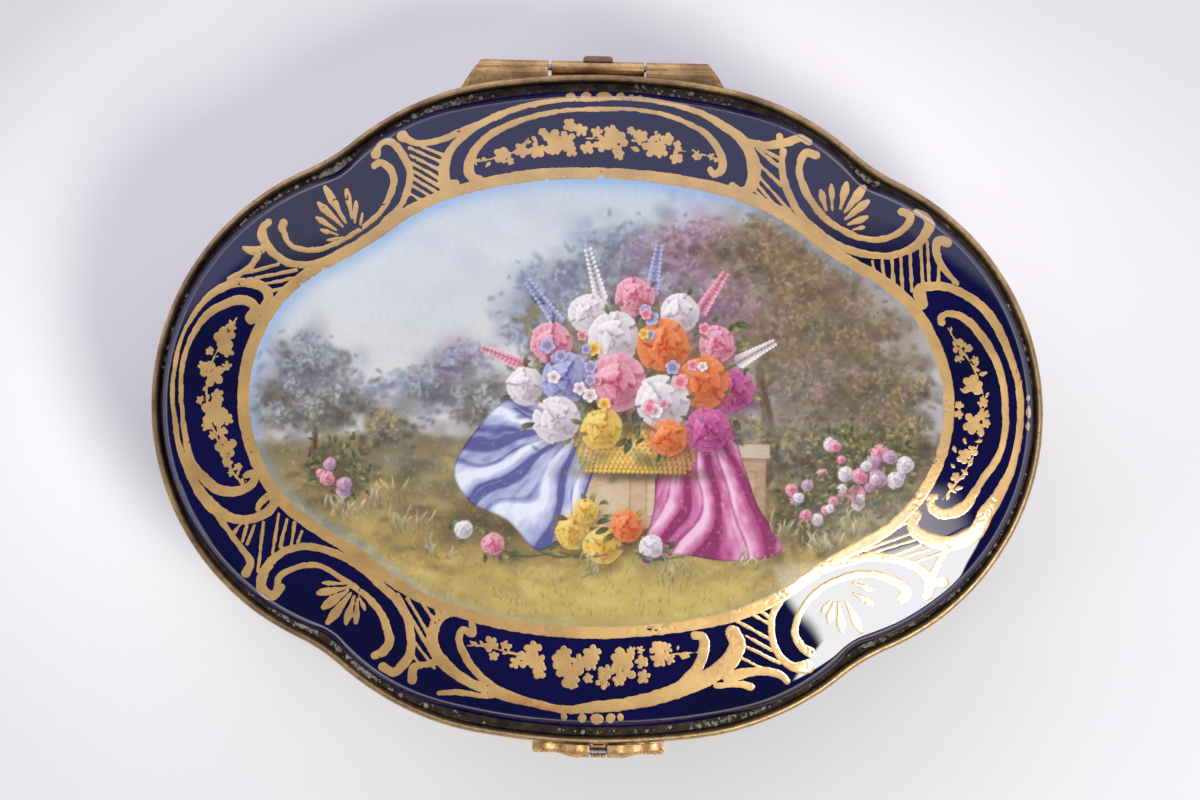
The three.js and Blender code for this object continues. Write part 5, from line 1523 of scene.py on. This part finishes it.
def paint_leaf(art, x, y, length, angle, tone):
    tone = np.array(tone)
    bend = art.rng.normal(0, 0.1) * length
    art.petal(x, y, length, length * 0.42, angle, 0.55 * tone, 1.15 * tone, bend, 0.95, 1.0)
    art.petal(x, y, length * 0.9, length * 0.07, angle, 1.3 * tone, 1.4 * tone, bend, 0.6, 1.0)


def paint_leaves(art, x, y, spread, count, sizes=(1.4, 2.6)):
    for _ in range(count):
        at = np.clip(art.rng.normal(0, 1, 2), -1.7, 1.7) * spread
        angle = np.arctan2(at[1], at[0]) + art.rng.normal(0, 0.6)
        paint_leaf(art, x + at[0], y + at[1], art.rng.uniform(*sizes), angle, art.tone(LEAVES))


def paint_sprays(art):
    """Long stems of small blossoms that rise from the basket."""
    for x, y, length, degrees, tones in (
        (-4, 10, 10, 128, LILACS), (1, 13, 10, 106, CREAMS), (7, 14, 9.5, 82, LILACS), (13, 12, 9, 58, PINKS),
        (18, 6, 8, 30, CREAMS), (-8, 5, 9, 158, PINKS),
    ):
        turn = np.radians(degrees)
        end = x + length * np.cos(turn), y + length * np.sin(turn)
        art.line([(x, y, 0.3), ((x + end[0]) / 2 + 0.4, (y + end[1]) / 2, 0.22), (*end, 0.15)], LEAVES[1], 0.6)
        for share in np.linspace(0.25, 1, 12):
            at = x + (end[0] - x) * share, y + (end[1] - y) * share
            for side in (-1, 1):
                angle = turn + 0.9 * side
                art.petal(*at, 1.5 - 0.8 * share, 0.75 - 0.3 * share, angle, *tones, 0.05, 0.95, 1.4)


def paint_basket(art):
    """A low woven basket."""
    top, foot = -2.6, -8.8
    rows = 11
    middle = 5.5
    art.dab(middle + 1, foot - 0.2, 10, 1.3, 0, srgb(78, 60, 44), 0.8)
    for row in range(rows):
        share = row / (rows - 1)
        y = foot + (top - foot) * share
        half = 7.4 + 2.4 * share**0.8
        count = 22
        for k in range(count):
            x = middle - half + 2 * half * (k + 0.5 * (row % 2)) / count
            shade = 0.5 + 0.5 * np.cos((x - middle + 3) / half * 1.35)
            tones = np.array(YELLOWS[0]) * (0.45 + 0.55 * shade), np.array(YELLOWS[1]) * (0.6 + 0.4 * shade)
            art.petal(x, y, 2 * half / count * 1.1, 0.66, 0.1, *tones, 0, 0.98, 1.0)
    for k in range(34):
        x = middle - 10 + 20 * k / 33
        art.petal(x, top - 0.1, 1.3, 0.6, 0.7, srgb(150, 98, 40), YELLOWS[1], 0.05, 0.98, 1.0)


def paint_shawls(art):
    """A lilac shawl to the left of the basket and a rose one to its right."""
    lilac = np.array([
        (-3, -1.5), (-8, 1.6), (-13, 1.2), (-17.4, -3.4), (-20.4, -9), (-18, -13.6), (-12.6, -16.2), (-8, -20.4),
        (-3.4, -17), (-1, -11), (0, -6),
    ])
    paint_cloth(art, lilac, (-1, 0), 15, srgb(88, 90, 146), srgb(168, 174, 208), srgb(226, 230, 240), 130)
    rose = np.array([
        (10, -4), (15, -1.4), (19, -2), (21.4, -8), (23.4, -13.4), (27, -19.6), (20, -21.4), (12, -20.6),
        (7, -21.6), (8.4, -14), (8.6, -8),
    ])
    paint_cloth(art, rose, (14, 1), 17, srgb(138, 44, 96), srgb(190, 96, 148), srgb(234, 190, 214), 134)


def paint_bouquet(art):
    rng = art.rng
    art.scatter(500, (5, 5), (6.5, 4.6), (0.5, 1.6), OLIVES[:4] + LEAVES[:2], 0.5)
    paint_leaves(art, 5, 5.5, (8.6, 5.6), 150)
    paint_sprays(art)
    roses = (
        (-1.5, 13.8, 2.8, CREAMS), (5, 16.4, 2.7, PINKS), (11.6, 14.2, 2.7, CREAMS), (17, 9.8, 2.6, PINKS),
        (-6.8, 9.4, 2.9, PINKS), (-10.4, 3.2, 2.7, CREAMS), (19.4, 3, 2.9, MAGENTAS), (2.2, 10.4, 3.5, CREAMS),
        (9.4, 9.4, 3.7, ORANGES), (-4.6, 4.4, 3.5, LILACS), (14.8, 4.2, 3.7, ORANGES), (2.6, 3.8, 4.1, PINKS),
        (9.2, 1.4, 3.7, CREAMS), (-5.8, -1.6, 3.3, CREAMS), (16, -2.6, 3.3, MAGENTAS), (0.6, -2.8, 2.9, YELLOWS),
        (10.2, -3.8, 2.7, ORANGES),
    )
    for x, y, radius, tones in roses:
        paint_rose(art, x, y, radius, tones, rng.uniform(0, 2))
        for _ in range(2):
            angle = rng.uniform(0, 2 * np.pi)
            at = x + 0.95 * radius * np.cos(angle), y + 0.95 * radius * np.sin(angle)
            paint_leaf(art, *at, rng.uniform(1.2, 2.0), angle, art.tone(LEAVES))
    for _ in range(26):
        angle, out = rng.uniform(0, 2 * np.pi), np.sqrt(rng.uniform(0.1, 1))
        at = 5 + 13 * out * np.cos(angle), 6.5 + 9 * out * np.sin(angle)
        tones = (LILACS, CREAMS, YELLOWS, PINKS, LILACS)[rng.integers(5)]
        paint_small_flower(art, *at, rng.uniform(0.7, 1.15), tones)


def paint_fallen(art):
    """Cut flowers that lie on the grass in front of the step."""
    for x, y, radius, tones in (
        (-3.2, -17.6, 2.5, YELLOWS), (1.2, -19.4, 2.7, YELLOWS), (4.6, -16.6, 2.3, ORANGES), (-1.4, -14.6, 1.8, YELLOWS),
        (-14.6, -19.6, 1.6, PINKS), (-18.8, -17.6, 1.3, CREAMS), (8.2, -19.6, 1.7, CREAMS),
    ):
        paint_leaves(art, x, y - 0.4, (1.5, 0.8), 7, (1.2, 2.2))
        paint_rose(art, x, y, radius, tones)
    for x in (-13, -8, -5, 6):
        art.line([(x, -20.5, 0.25), (x + 3, -21.3, 0.3), (x + 7, -20.8, 0.2)], LEAVES[1], 0.6)


def paint_bushes(art):
    """Rose bushes at the right, and a smaller one at the left."""
    rng = art.rng
    for x, y, reach, leaves, blooms in ((38, -8, 5.4, 260, 26), (31, -13, 3.4, 120, 9), (-37, -9, 3.4, 90, 7)):
        art.scatter(leaves * 2, (x, y - 1), (reach * 0.8, reach * 0.6), (0.4, 1.1), OLIVES[1:4] + BROWNS[2:3], 0.45)
        paint_leaves(art, x, y, (reach * 0.75, reach * 0.65), leaves, (0.7, 1.4))
        for _ in range(blooms):
            at = np.array([x, y]) + rng.normal(0, 1, 2) * (reach * 0.6, reach * 0.5)
            tones = (PINKS, PINKS, CREAMS, VIOLETS[:1] + [srgb(216, 180, 200)])[rng.integers(4)]
            paint_rose(art, *at, rng.uniform(0.6, 1.25), tones)


def paint_grasses(art):
    """Tufts of pale blades in the foreground."""
    rng = art.rng
    for x, y, count in (
        (-36, -16, 16), (-31, -14, 12), (-27, -18, 12), (-22, -22, 9), (28, -18, 16), (33, -20, 18), (23, -22, 10),
        (37, -17, 12), (-1, -23, 9), (12, -24, 9),
    ):
        for _ in range(count):
            at = x + rng.normal(0, 1.3), y + rng.normal(0, 0.5)
            angle = 1.57 + rng.normal(0, 0.5)
            tip = art.tone([srgb(222, 214, 180), srgb(196, 188, 148)])
            art.petal(*at, rng.uniform(1.6, 3.6), 0.3, angle, OLIVES[1], tip, rng.normal(0, 0.4), 0.8, 1.0)


def paint_edge(art):
    """The enamel pales to blue by the gold, most of all against the sky."""
    above = np.clip(0.5 + (art.y - 0.5 * art.x) / 50, 0, 1)
    strength = 0.1 + 0.42 * above + 0.12 * noise(art.x, art.y, 12, 120)
    art.wash(EDGE_BLUE, strength * np.exp(-(((art.away + 0.1) / (0.6 + 0.7 * above)) ** 2)))


PAINTING_STEPS = (
    paint_sky, paint_distance, paint_meadow, paint_trees, paint_bushes, paint_plinth, paint_shawls, paint_basket,
    paint_bouquet, paint_fallen, paint_grasses, paint_edge,
)


def painted_reserve():
    """The painting, in four pieces that meet at two lines."""
    art = Painting()
    for step in PAINTING_STEPS:
        step(art)
    split_x, split_y = OVAL_CENTRE
    colour_at = [art.paint[..., k] for k in range(3)]
    for name, sx, sy in (("back_left", -1, 1), ("back_right", 1, 1), ("front_left", -1, -1), ("front_right", 1, -1)):
        beyond = np.maximum(sx * (split_x - art.x), sy * (split_y - art.y))
        art.pattern.field = np.maximum(art.away - BAND_WIDTH * 0.35, beyond)
        x, y, _, faces = art.pattern.contour()
        points, faces = fan_layer(on_lid(x, y, np.full(len(x), 0.02)), faces)
        i = np.clip(((x - art.pattern.xs[0]) / art.CELL).round().astype(int), 0, art.x.shape[1] - 1)
        j = np.clip(((y - art.pattern.ys[0]) / art.CELL).round().astype(int), 0, art.x.shape[0] - 1)
        colours = to_linear(np.stack([channel[j, i] for channel in colour_at], 1))
        under = np.broadcast_to(colours.mean(0), (len(points) - len(colours), 3))
        made = add_mesh(f"painting_{name}", (points, faces), PAINT, 60, np.concatenate([colours, under]))
        place(made, "lid", "enamel_painting")


# Bars along X and cast ornament
def bar_rings(radius, stations, y, z, sides=40):
    """Rings of a bar along X; a station is (x or a function of the ring's y, share of the radius)."""
    turns = np.linspace(0, 2 * np.pi, sides + 1)[:-1]
    rings = []
    for x, share in stations:
        ring_y, ring_z = y + radius * share * np.cos(turns), z + radius * share * np.sin(turns)
        ring_x = x(ring_y) if callable(x) else np.full(sides, x)
        rings.append(np.column_stack([ring_x, ring_y, ring_z]))
    return rings


BORE_DEPTH = 7.5
HINGE_SLANT = 0.75
HINGE_END = 0.5


def hinge_knuckles():
    radius = 1.0
    bore = 0.53
    edge = 0.12
    for name, side in (("left", -1), ("right", 1)):
        node = f"hinge_{name}_knuckle"
        low, high = box_mm(node)
        inner, outer = (high[0], low[0]) if side < 0 else (low[0], high[0])
        def end_at(y, inset=0.0):
            return outer - side * (HINGE_END + inset + HINGE_SLANT * (y - (HINGE_Y - radius)))

        stations = [
            (inner + side * BORE_DEPTH, bore), (inner, bore), (inner, 0.9), (inner + side * 0.05, 0.97),
            (inner + side * edge, 1.0), (inner + side * 4, 0.995), (inner + side * 7, 1.0),
            (lambda y: end_at(y, 0.12), 1.0), (lambda y: end_at(y, 0.03), 0.97), (lambda y: end_at(y), 0.9),
        ]
        rings = bar_rings(radius, stations, HINGE_Y, HINGE_Z)
        ends = [[inner + side * BORE_DEPTH, HINGE_Y, HINGE_Z], [end_at(HINGE_Y), HINGE_Y, HINGE_Z]]
        points, faces = skin(rings, ends)
        if side < 0:
            faces = [f[:, ::-1] for f in faces]
        made = add_mesh(f"hinge_tube_{name}", (points, faces), HINGE_BRASS, 40)
        place(made, "lid", "collar_brass", node)
    low, high = box_mm("hinge_middle_knuckle")
    stations = [
        (low[0], bore), (low[0], 0.9), (low[0] + 0.05, 0.97), (low[0] + edge, 1.0), (-1, 0.99),
        (high[0] - edge, 1.0), (high[0] - 0.05, 0.97), (high[0], 0.9), (high[0], bore),
    ]
    made = add_mesh("hinge_tube_middle", skin(bar_rings(radius, stations, HINGE_Y, HINGE_Z)), HINGE_BRASS, 40)
    place(made, "base", "collar_brass", "hinge_middle_knuckle")


def bead(x, y, z, radius, squash=(1, 1, 1)):
    """A small cast ball, as rings from its bottom to its top."""
    lifts = np.linspace(-1, 1, 9)[1:-1]
    turns = np.linspace(0, 2 * np.pi, 15)[:-1]
    rings = []
    for lift in np.sin(lifts * np.pi / 2):
        reach = np.sqrt(1 - lift * lift)
        rings.append(np.column_stack([reach * np.cos(turns), reach * np.sin(turns), np.full(14, lift)]))
    points, faces = skin(rings, [[0, 0, -1], [0, 0, 1]])
    return points * radius * np.array(squash) + [x, y, z], faces


def cast_leaf(side, start, length, half_heights, reaches, middle, back_y, relief):
    """A long leaf in low relief against the collar: a polished swelling, a ringed neck, a rolled end."""
    along_steps, across_steps = 72, 28
    shares = np.linspace(0, 1, along_steps)
    stations = np.linspace(0, 1, len(half_heights))
    half = np.interp(shares, stations, half_heights)
    reach = np.interp(shares, stations, reaches)
    half = np.convolve(np.pad(half, 3, "edge"), np.ones(7) / 7, "valid")
    reach = np.convolve(np.pad(reach, 3, "edge"), np.ones(7) / 7, "valid")
    s, v = np.meshgrid(shares, np.linspace(-1, 1, across_steps), indexing="ij")
    x = HASP_X + side * (start + length * s)
    z = middle + half[:, None] * v
    body = np.sqrt(np.clip(1 - np.abs(v) ** 2.2, 0, 1))
    neck = np.exp(-(((s - 0.66) / 0.09) ** 2)) * np.sin(2 * np.pi * s * 17)
    pit = np.exp(-(((s - 0.1) / 0.06) ** 2) - ((v - 0.45) / 0.3) ** 2)
    vein = np.exp(-((v / 0.2) ** 2)) * np.clip(1 - s * 1.6, 0, 1)
    front = reach[:, None] * (0.3 + 0.7 * body) + relief * (0.8 * neck - 2.2 * pit - vein) * body
    y = back_y - np.maximum(front, 0.15)
    front_points = np.stack([x, y, z], 2).reshape(-1, 3)
    wall = wall_y(x, z)
    back_points = np.stack([x, wall, z], 2).reshape(-1, 3)
    grid = np.arange(along_steps * across_steps).reshape(along_steps, across_steps)
    quads = np.stack([grid[:-1, :-1], grid[1:, :-1], grid[1:, 1:], grid[:-1, 1:]], 2).reshape(-1, 4)
    if side < 0:
        quads = quads[:, ::-1]
    return closed_layer(front_points, back_points, [quads])


def wall_y(x, z):
    """Front of the collars at x, with a film of solder."""
    front = collar.at[:, 1] < 0
    xs, ys = collar.at[front].T
    order = np.argsort(xs)
    return np.interp(x, xs[order], ys[order]) - FILM


def clasp_wings():
    start = 1.3
    for name, side in (("left", -1), ("right", 1)):
        leaf = cast_leaf(side, start, 8.3, [0.95, 1.45, 1.5, 1.1, 0.7, 0.62, 0.85, 0.75, 0.3],
                         [1.75, 2.0, 2.02, 1.8, 1.45, 1.25, 1.3, 1.2, 0.8], HASP_Z, COLLAR_FRONT, 0.16)
        lug_ends = sorted([HASP_X + side * start, HASP_X + side * (start + 1)])
        stations = [
            (lug_ends[0], 0.63), (lug_ends[0], 0.88), (lug_ends[0] + 0.1, 0.98), (lug_ends[1] - 0.1, 0.98),
            (lug_ends[1], 0.88), (lug_ends[1], 0.63),
        ]
        lug = skin(bar_rings(0.9, stations, HASP_Y, HASP_Z, 24))
        parts = [leaf, lug]
        parts.append(bead(HASP_X + side * 9.1, COLLAR_FRONT - 0.75, HASP_Z, 0.62, (0.75, 1, 1)))
        parts.append(bead(HASP_X + side * 8.3, COLLAR_FRONT - 0.95, HASP_Z + 0.35, 0.4))
        made = add_mesh(f"clasp_leaf_{name}", joined(parts), CLASP, 45)
        place(made, "lid", "clasp_gilt", f"clasp_{name}_wing")


def open_curl(half_length, inside, outside, start, end):
    """The hasp's hook round its pin, open above; the angles run from the back over the top."""
    rings = []
    for turn in np.radians(np.linspace(start, end, 22)):
        corners = [(-1, inside), (1, inside), (1, outside), (-1, outside)]
        rings.append(np.array([
            [HASP_X + side * half_length, HASP_Y + r * np.cos(turn), HASP_Z + r * np.sin(turn)]
            for side, r in corners
        ]))
    return skin(rings, [rings[0].mean(0), rings[-1].mean(0)])


def hasp():
    low, high = box_mm("hasp")
    front = low[1]
    along_steps, across_steps = 40, 24
    drops = np.linspace(0, HASP_Z - low[2], along_steps)
    stations = np.array([0, 1.2, 2.0, 3.2, 4.6, 6.0, 7.4, 8.2, 8.4])
    halves = np.array([1.05, 1.05, 1.25, 2.9, 3.08, 2.7, 1.5, 0.55, 0.15])
    half = np.interp(drops, stations, halves)
    s, v = np.meshgrid(drops, np.linspace(-1, 1, across_steps), indexing="ij")
    x = HASP_X + half[:, None] * v
    z = HASP_Z - s
    flutes = 0.10 * np.cos(v * np.pi * 5) * np.clip((s - 2) / 2, 0, 1)
    dome = 0.45 * np.sqrt(np.clip(1 - np.abs(v) ** 2.5, 0, 1)) * np.clip((s - 1) / 3, 0, 1)
    pad_front = -49.35 - 0.62 - dome - flutes
    y = np.maximum(pad_front, front + 0.01)
    front_points = np.stack([x, y, z], 2).reshape(-1, 3)
    groove = (np.abs(x - HASP_X) < 1.0) & (z < 34.1)
    back_y = np.where(groove, -50.15, -49.35)
    back_points = np.stack([x, np.maximum(back_y, y + 0.12), z], 2).reshape(-1, 3)
    grid = np.arange(along_steps * across_steps).reshape(along_steps, across_steps)
    quads = np.stack([grid[:-1, :-1], grid[:-1, 1:], grid[1:, 1:], grid[1:, :-1]], 2).reshape(-1, 4)[:, ::-1]
    pad = closed_layer(front_points, back_points, [quads])
    curl = open_curl(1.08, 0.6, 0.88, 140, 355)
    beads = [bead(HASP_X + dx, -50.4, HASP_Z + 0.32, 0.28) for dx in (-0.81, -0.27, 0.27, 0.81)]
    made = add_mesh("hasp_shell", joined([pad, curl, *beads]), CLASP, 45)
    place(made, "hasp", "clasp_gilt", "hasp")


def catch():
    leaves_made = []
    for side in (-1, 1):
        leaves_made.append(
            cast_leaf(side, 3.1, 5.4, [1.2, 1.45, 1.3, 0.8, 0.55, 0.7, 0.5], [1.3, 1.45, 1.35, 1.05, 0.85, 0.9, 0.6],
                      33, COLLAR_FRONT, 0.12)
        )
    xs = np.linspace(HASP_X - 4, HASP_X + 4, 20)
    zs = np.linspace(31.7, 34.3, 8)
    x, z = np.meshgrid(xs, zs, indexing="ij")
    front_points = np.stack([x, np.full(x.shape, COLLAR_FRONT - 0.38), z], 2).reshape(-1, 3)
    back_points = np.stack([x, wall_y(x, z), z], 2).reshape(-1, 3)
    grid = np.arange(x.size).reshape(x.shape)
    quads = np.stack([grid[:-1, :-1], grid[1:, :-1], grid[1:, 1:], grid[:-1, 1:]], 2).reshape(-1, 4)
    bridge = closed_layer(front_points, back_points, [quads])
    made = add_mesh("catch_leaves", joined([bridge, *leaves_made]), CLASP, 45)
    place(made, "base", "clasp_gilt", "catch_plate")
    low, high = box_mm("catch_post")
    turns = np.linspace(0, 2 * np.pi, 33)[:-1]
    profile = [(high[1], 0.8), (low[1] + 0.5, 0.8), (low[1] + 0.45, 0.72), (low[1] + 0.3, 0.74), (low[1] + 0.12, 0.6), (low[1] + 0.03, 0.35)]
    rings = [
        np.column_stack([HASP_X + r * np.cos(turns), np.full(32, y), 33 + r * np.sin(turns)]) for y, r in profile
    ]
    post = add_mesh("catch_stud", skin(rings, [[HASP_X, high[1], 33], [HASP_X, low[1], 33]]), CLASP, 45)
    place(post, "base", "clasp_gilt", "catch_post")


def hinge_leaves():
    """Plates from the lid's collar up to the tubes, their outer ends cut to a point."""
    run = 0.6
    xs, ys = collar.at[collar.at[:, 1] > 0].T
    order = np.argsort(xs)
    front_of_tube = HINGE_Y - 1
    for name, side in (("left", -1), ("right", 1)):
        tube = box_mm(f"hinge_{name}_knuckle")
        low, high = box_mm(f"hinge_{name}_leaf")
        inner, corner = (high[0], tube[0][0] + HINGE_END) if side < 0 else (low[0], tube[1][0] - HINGE_END)
        top = corner - side * HINGE_SLANT
        tip = corner
        for _ in range(20):
            tip = corner + side * run * (front_of_tube - np.interp(tip, xs[order], ys[order]))
        along = np.concatenate([np.linspace(inner, top, 30), np.linspace(corner, tip, 10)])
        wall = np.interp(along, xs[order], ys[order]) + FILM / 2
        back = np.interp(side * along, side * np.array([inner, top, corner, tip]),
                         [HINGE_Y, HINGE_Y, front_of_tube, wall[-1]])
        back = np.maximum(back, wall + 0.02)
        rings = []
        for x, y0, y1 in zip(along, wall, back):
            fall = min(1, (y1 - y0) / 1.5)
            rings.append(np.array([
                [x, y0, low[2]], [x, y1, low[2]], [x, y1, HINGE_Z + 0.95], [x, y1 - 0.35 * fall, HINGE_Z + 0.99],
                [x, y1 - 0.8 * fall, HINGE_Z + 1.12], [x, y1 - 1.3 * fall, high[2]], [x, y0, high[2]],
            ]))
        points, faces = skin(rings, [rings[0].mean(0), rings[-1].mean(0)])
        if side > 0:
            faces = [f[:, ::-1] for f in faces]
        made = add_mesh(f"hinge_plate_{name}", (points, faces), HINGE_BRASS, 30)
        place(made, "lid", "collar_brass", f"hinge_{name}_leaf")


def kept_nodes():
    """CAD pieces whose shape is right get their finish."""
    finishes = {
        "hinge_middle_leaf": HINGE_BRASS,
        "hinge_stop_tab": STOP_BRASS,
        "hinge_pin": STEEL,
        "hasp_pin": STEEL,
    }
    for node, material in finishes.items():
        slots = frame["nodes"][node].data.materials
        for k in range(len(slots)):
            slots[k] = material


# Gilding on the bowl: drawn flat along the wall and wrapped round it
def on_bowl(x, y, lift):
    """x runs round the outline from the middle of the front, y is a height."""
    at, normal = porcelain.at, porcelain.normal
    lengths = np.hypot(*(np.roll(at, -1, 0) - at).T)
    total = lengths.sum()
    start = np.concatenate([[0], np.cumsum(lengths)])
    front = start[np.argmin(np.hypot(*(at - [0, -PORCELAIN_HALF_DEPTH]).T))]
    where = (x + front) % total
    wrap_at, wrap_normal = np.vstack([at, at[:1]]), np.vstack([normal, normal[:1]])
    px, py = np.interp(where, start, wrap_at[:, 0]), np.interp(where, start, wrap_at[:, 1])
    nx, ny = np.interp(where, start, wrap_normal[:, 0]), np.interp(where, start, wrap_normal[:, 1])
    inset = bulge((y - FOOT_HEIGHT) / (MOUTH_HEIGHT - FOOT_HEIGHT)) - lift
    return np.column_stack([px - nx * inset, py - ny * inset, y])


def gild_bowl():
    at = porcelain.at
    total = np.hypot(*(np.roll(at, -1, 0) - at).T).sum()
    panels = 4
    for panel in range(panels):
        middle = total * panel / panels
        half = total / panels / 2
        pattern = Pattern((middle - half, middle + half), (3, 30), 0.2)
        for y, width in ((28.6, 0.55), (5.0, 0.8)):
            pattern.field = np.minimum(pattern.field, np.abs(pattern.y - y) - width / 2)
        for sx in (-1, 1):
            points = [
                (3, 11.5, 0.5), (9, 8.8, 0.8), (16, 9.2, 1.1), (22, 12.5, 1.3), (23.5, 17.5, 1.3),
                (20, 21, 1.2), (16.4, 19.4, 1.5),
            ]
            pattern.stroke([(middle + sx * x, y, w) for x, y, w in points])
            points = [(24, 12, 0.9), (30, 10.5, 0.8), (35, 13, 0.9), (36, 18, 1.1), (32.5, 20.4, 1.2), (30.2, 18.2, 1.4)]
            pattern.stroke([(middle + sx * x, y, w) for x, y, w in points])
            points = [(2, 24.6, 0.5), (8, 25.6, 0.7), (15, 25, 0.9), (20.6, 22.4, 1.1)]
            pattern.stroke([(middle + sx * x, y, w) for x, y, w in points])
            for turn in np.radians((20, 48, 76, 104, 132)):
                base = (middle + sx * (27.5 + 1.0 * np.cos(turn)), 14.6 + 1.0 * np.sin(turn))
                tip = (middle + sx * (27.5 + 4.2 * np.cos(turn)), 14.6 + 4.2 * np.sin(turn))
                pattern.petal(base, tip, 1.1)
            for x, y, r, n in ((4.4, 16.6, 1.7, 6), (8.6, 17.2, 1.3, 5), (12.2, 16, 1.0, 5)):
                pattern.flower(middle + sx * x, y, r, n, 0.3)
                pattern.petal((middle + sx * x, y - r), (middle + sx * (x + 1.2), y - r - 1.4), 0.8)
            twig(pattern, [(middle + sx * 12, 16), (middle + sx * 15, 14.6), (middle + sx * 18, 14.4)])
        pattern.flower(middle, 17.6, 2.1, 7, 0.2)
        pattern.worn(90 + panel, 0.06)
        pattern.field[:, [0, -1]] = np.maximum(pattern.field[:, [0, -1]], 0.01)
        made = add_mesh(f"gilding_bowl_{panel + 1}", pattern.shape(on_bowl, 0.05), GOLD, 60)
        place(made, "base", "gilding")


# Floor, light and camera
CEILING = 1.05


def lamp(name, place_at, target, size, radiance, colour=(1, 1, 1), turn=0.0, soft=0.0):
    """A panel that shines with a given radiance, fading over a soft share at its edges."""
    data = bpy.data.lights.new(name, "AREA")
    data.shape = "RECTANGLE"
    data.size, data.size_y = size
    data.energy = radiance * np.pi * size[0] * size[1]
    data.color = colour
    if soft:
        fade_edges(data, soft)
    made = bpy.data.objects.new(name, data)
    made.location = place_at
    made.rotation_euler = (Vector(target) - Vector(place_at)).to_track_quat("-Z", "Y").to_euler()
    made.rotation_euler.rotate_axis("Z", np.radians(turn))
    bpy.context.scene.collection.objects.link(made)


def fade_edges(data, soft):
    data.use_nodes = True
    tree = data.node_tree
    geometry = tree.nodes.new("ShaderNodeNewGeometry")
    parts = tree.nodes.new("ShaderNodeSeparateXYZ")
    tree.links.new(geometry.outputs["Parametric"], parts.inputs[0])
    fades = []
    for k in (0, 1):
        away = tree.nodes.new("ShaderNodeMath")
        away.operation = "SUBTRACT"
        away.inputs[1].default_value = 0.5
        size = tree.nodes.new("ShaderNodeMath")
        size.operation = "ABSOLUTE"
        fade = tree.nodes.new("ShaderNodeMapRange")
        fade.interpolation_type = "SMOOTHSTEP"
        fade.inputs["From Min"].default_value = 0.5
        fade.inputs["From Max"].default_value = 0.5 - soft
        tree.links.new(parts.outputs[k], away.inputs[0])
        tree.links.new(away.outputs[0], size.inputs[0])
        tree.links.new(size.outputs[0], fade.inputs["Value"])
        fades.append(fade.outputs["Result"])
    both = tree.nodes.new("ShaderNodeMath")
    both.operation = "MULTIPLY"
    for k, fade in enumerate(fades):
        tree.links.new(fade, both.inputs[k])
    tree.links.new(both.outputs[0], tree.nodes["Emission"].inputs["Strength"])


def studio():
    mesh = bpy.data.meshes.new("floor")
    size = 3
    mesh.from_pydata([(-size, -size, 0), (size, -size, 0), (size, size, 0), (-size, size, 0)], [], [(0, 1, 2, 3)])
    mesh.materials.append(studio_floor())
    floor = bpy.data.objects.new("floor", mesh)
    floor.location.z = -0.02 * MM
    floor.scale.x = COLLAR_HALF_LENGTH / COLLAR_HALF_DEPTH
    bpy.context.scene.collection.objects.link(floor)
    room()

    daylight = (1.0, 0.985, 0.96)
    for name, x, y, size, turn, radiance, soft in (
        ("window", 0.403, -0.394, (0.325, 0.4), 18, 21.5, 0.05),
        ("window_blind", 0.31, -0.19, (0.2, 0.14), 18, 6.5, 0.3),
    ):
        lamp(name, (x, y, CEILING), (x, y, 0), size, radiance, daylight, turn, soft)
    lamp("left_strip", (-0.85, -0.42, 0.75), (0, 0, LID_TOP * MM), (0.22, 0.5), 4.5, (0.93, 0.96, 1.0))


def room():
    """A dim room with a bright wall behind the table and white skirting low round it."""
    world = bpy.data.worlds.new("studio")
    bpy.context.scene.world = world
    world.use_nodes = True
    tree = world.node_tree
    direction = tree.nodes.new("ShaderNodeTexCoord")
    total = tree.nodes.new("ShaderNodeMath")
    for k, (towards, start, end, low, high) in enumerate((
        ((0, 0, 1), 0.15, 0.25, 1.5, 0.0),
        ((-0.1, 0.99, 0), 0.19, 0.27, 0.12, 1.4),
    )):
        share = tree.nodes.new("ShaderNodeVectorMath")
        share.operation = "DOT_PRODUCT"
        share.inputs[1].default_value = towards
        ramp = tree.nodes.new("ShaderNodeMapRange")
        ramp.interpolation_type = "SMOOTHSTEP"
        ramp.inputs["From Min"].default_value = start
        ramp.inputs["From Max"].default_value = end
        ramp.inputs["To Min"].default_value = low
        ramp.inputs["To Max"].default_value = high
        tree.links.new(direction.outputs["Generated"], share.inputs[0])
        tree.links.new(share.outputs["Value"], ramp.inputs["Value"])
        tree.links.new(ramp.outputs["Result"], total.inputs[k])
    background = tree.nodes["Background"]
    background.inputs["Color"].default_value = (0.95, 0.93, 1.07, 1)
    tree.links.new(total.outputs[0], background.inputs["Strength"])


def camera():
    sensor = 36
    frame_width = 174.65
    distance = 779.0
    data = bpy.data.cameras.new("camera")
    data.sensor_width = sensor
    data.lens = sensor * distance / frame_width
    data.clip_start = 0.01
    made = bpy.data.objects.new("camera", data)
    made.location = (0.36 * MM, 1.37 * MM, (RIM_HEIGHT + distance) * MM)
    made.rotation_euler = (0, 0, np.radians(1.26))
    bpy.context.scene.collection.objects.link(made)
    bpy.context.scene.camera = made


def view_settings():
    bpy.context.scene.view_settings.view_transform = "Standard"


lid_body()
bowl_body()
lid_collar()
base_collar()
base_lip()
trough_plaster("lid_bedding", "lid_plaster", "lid", 31)
trough_plaster("bowl_bedding", "base_plaster", "base", 35)
crumbs()
gild_scrolls()
gild_garlands()
gild_band()
gild_bowl()
painted_reserve()
hinge_knuckles()
hinge_leaves()
clasp_wings()
hasp()
catch()
kept_nodes()
studio()
camera()
view_settings()
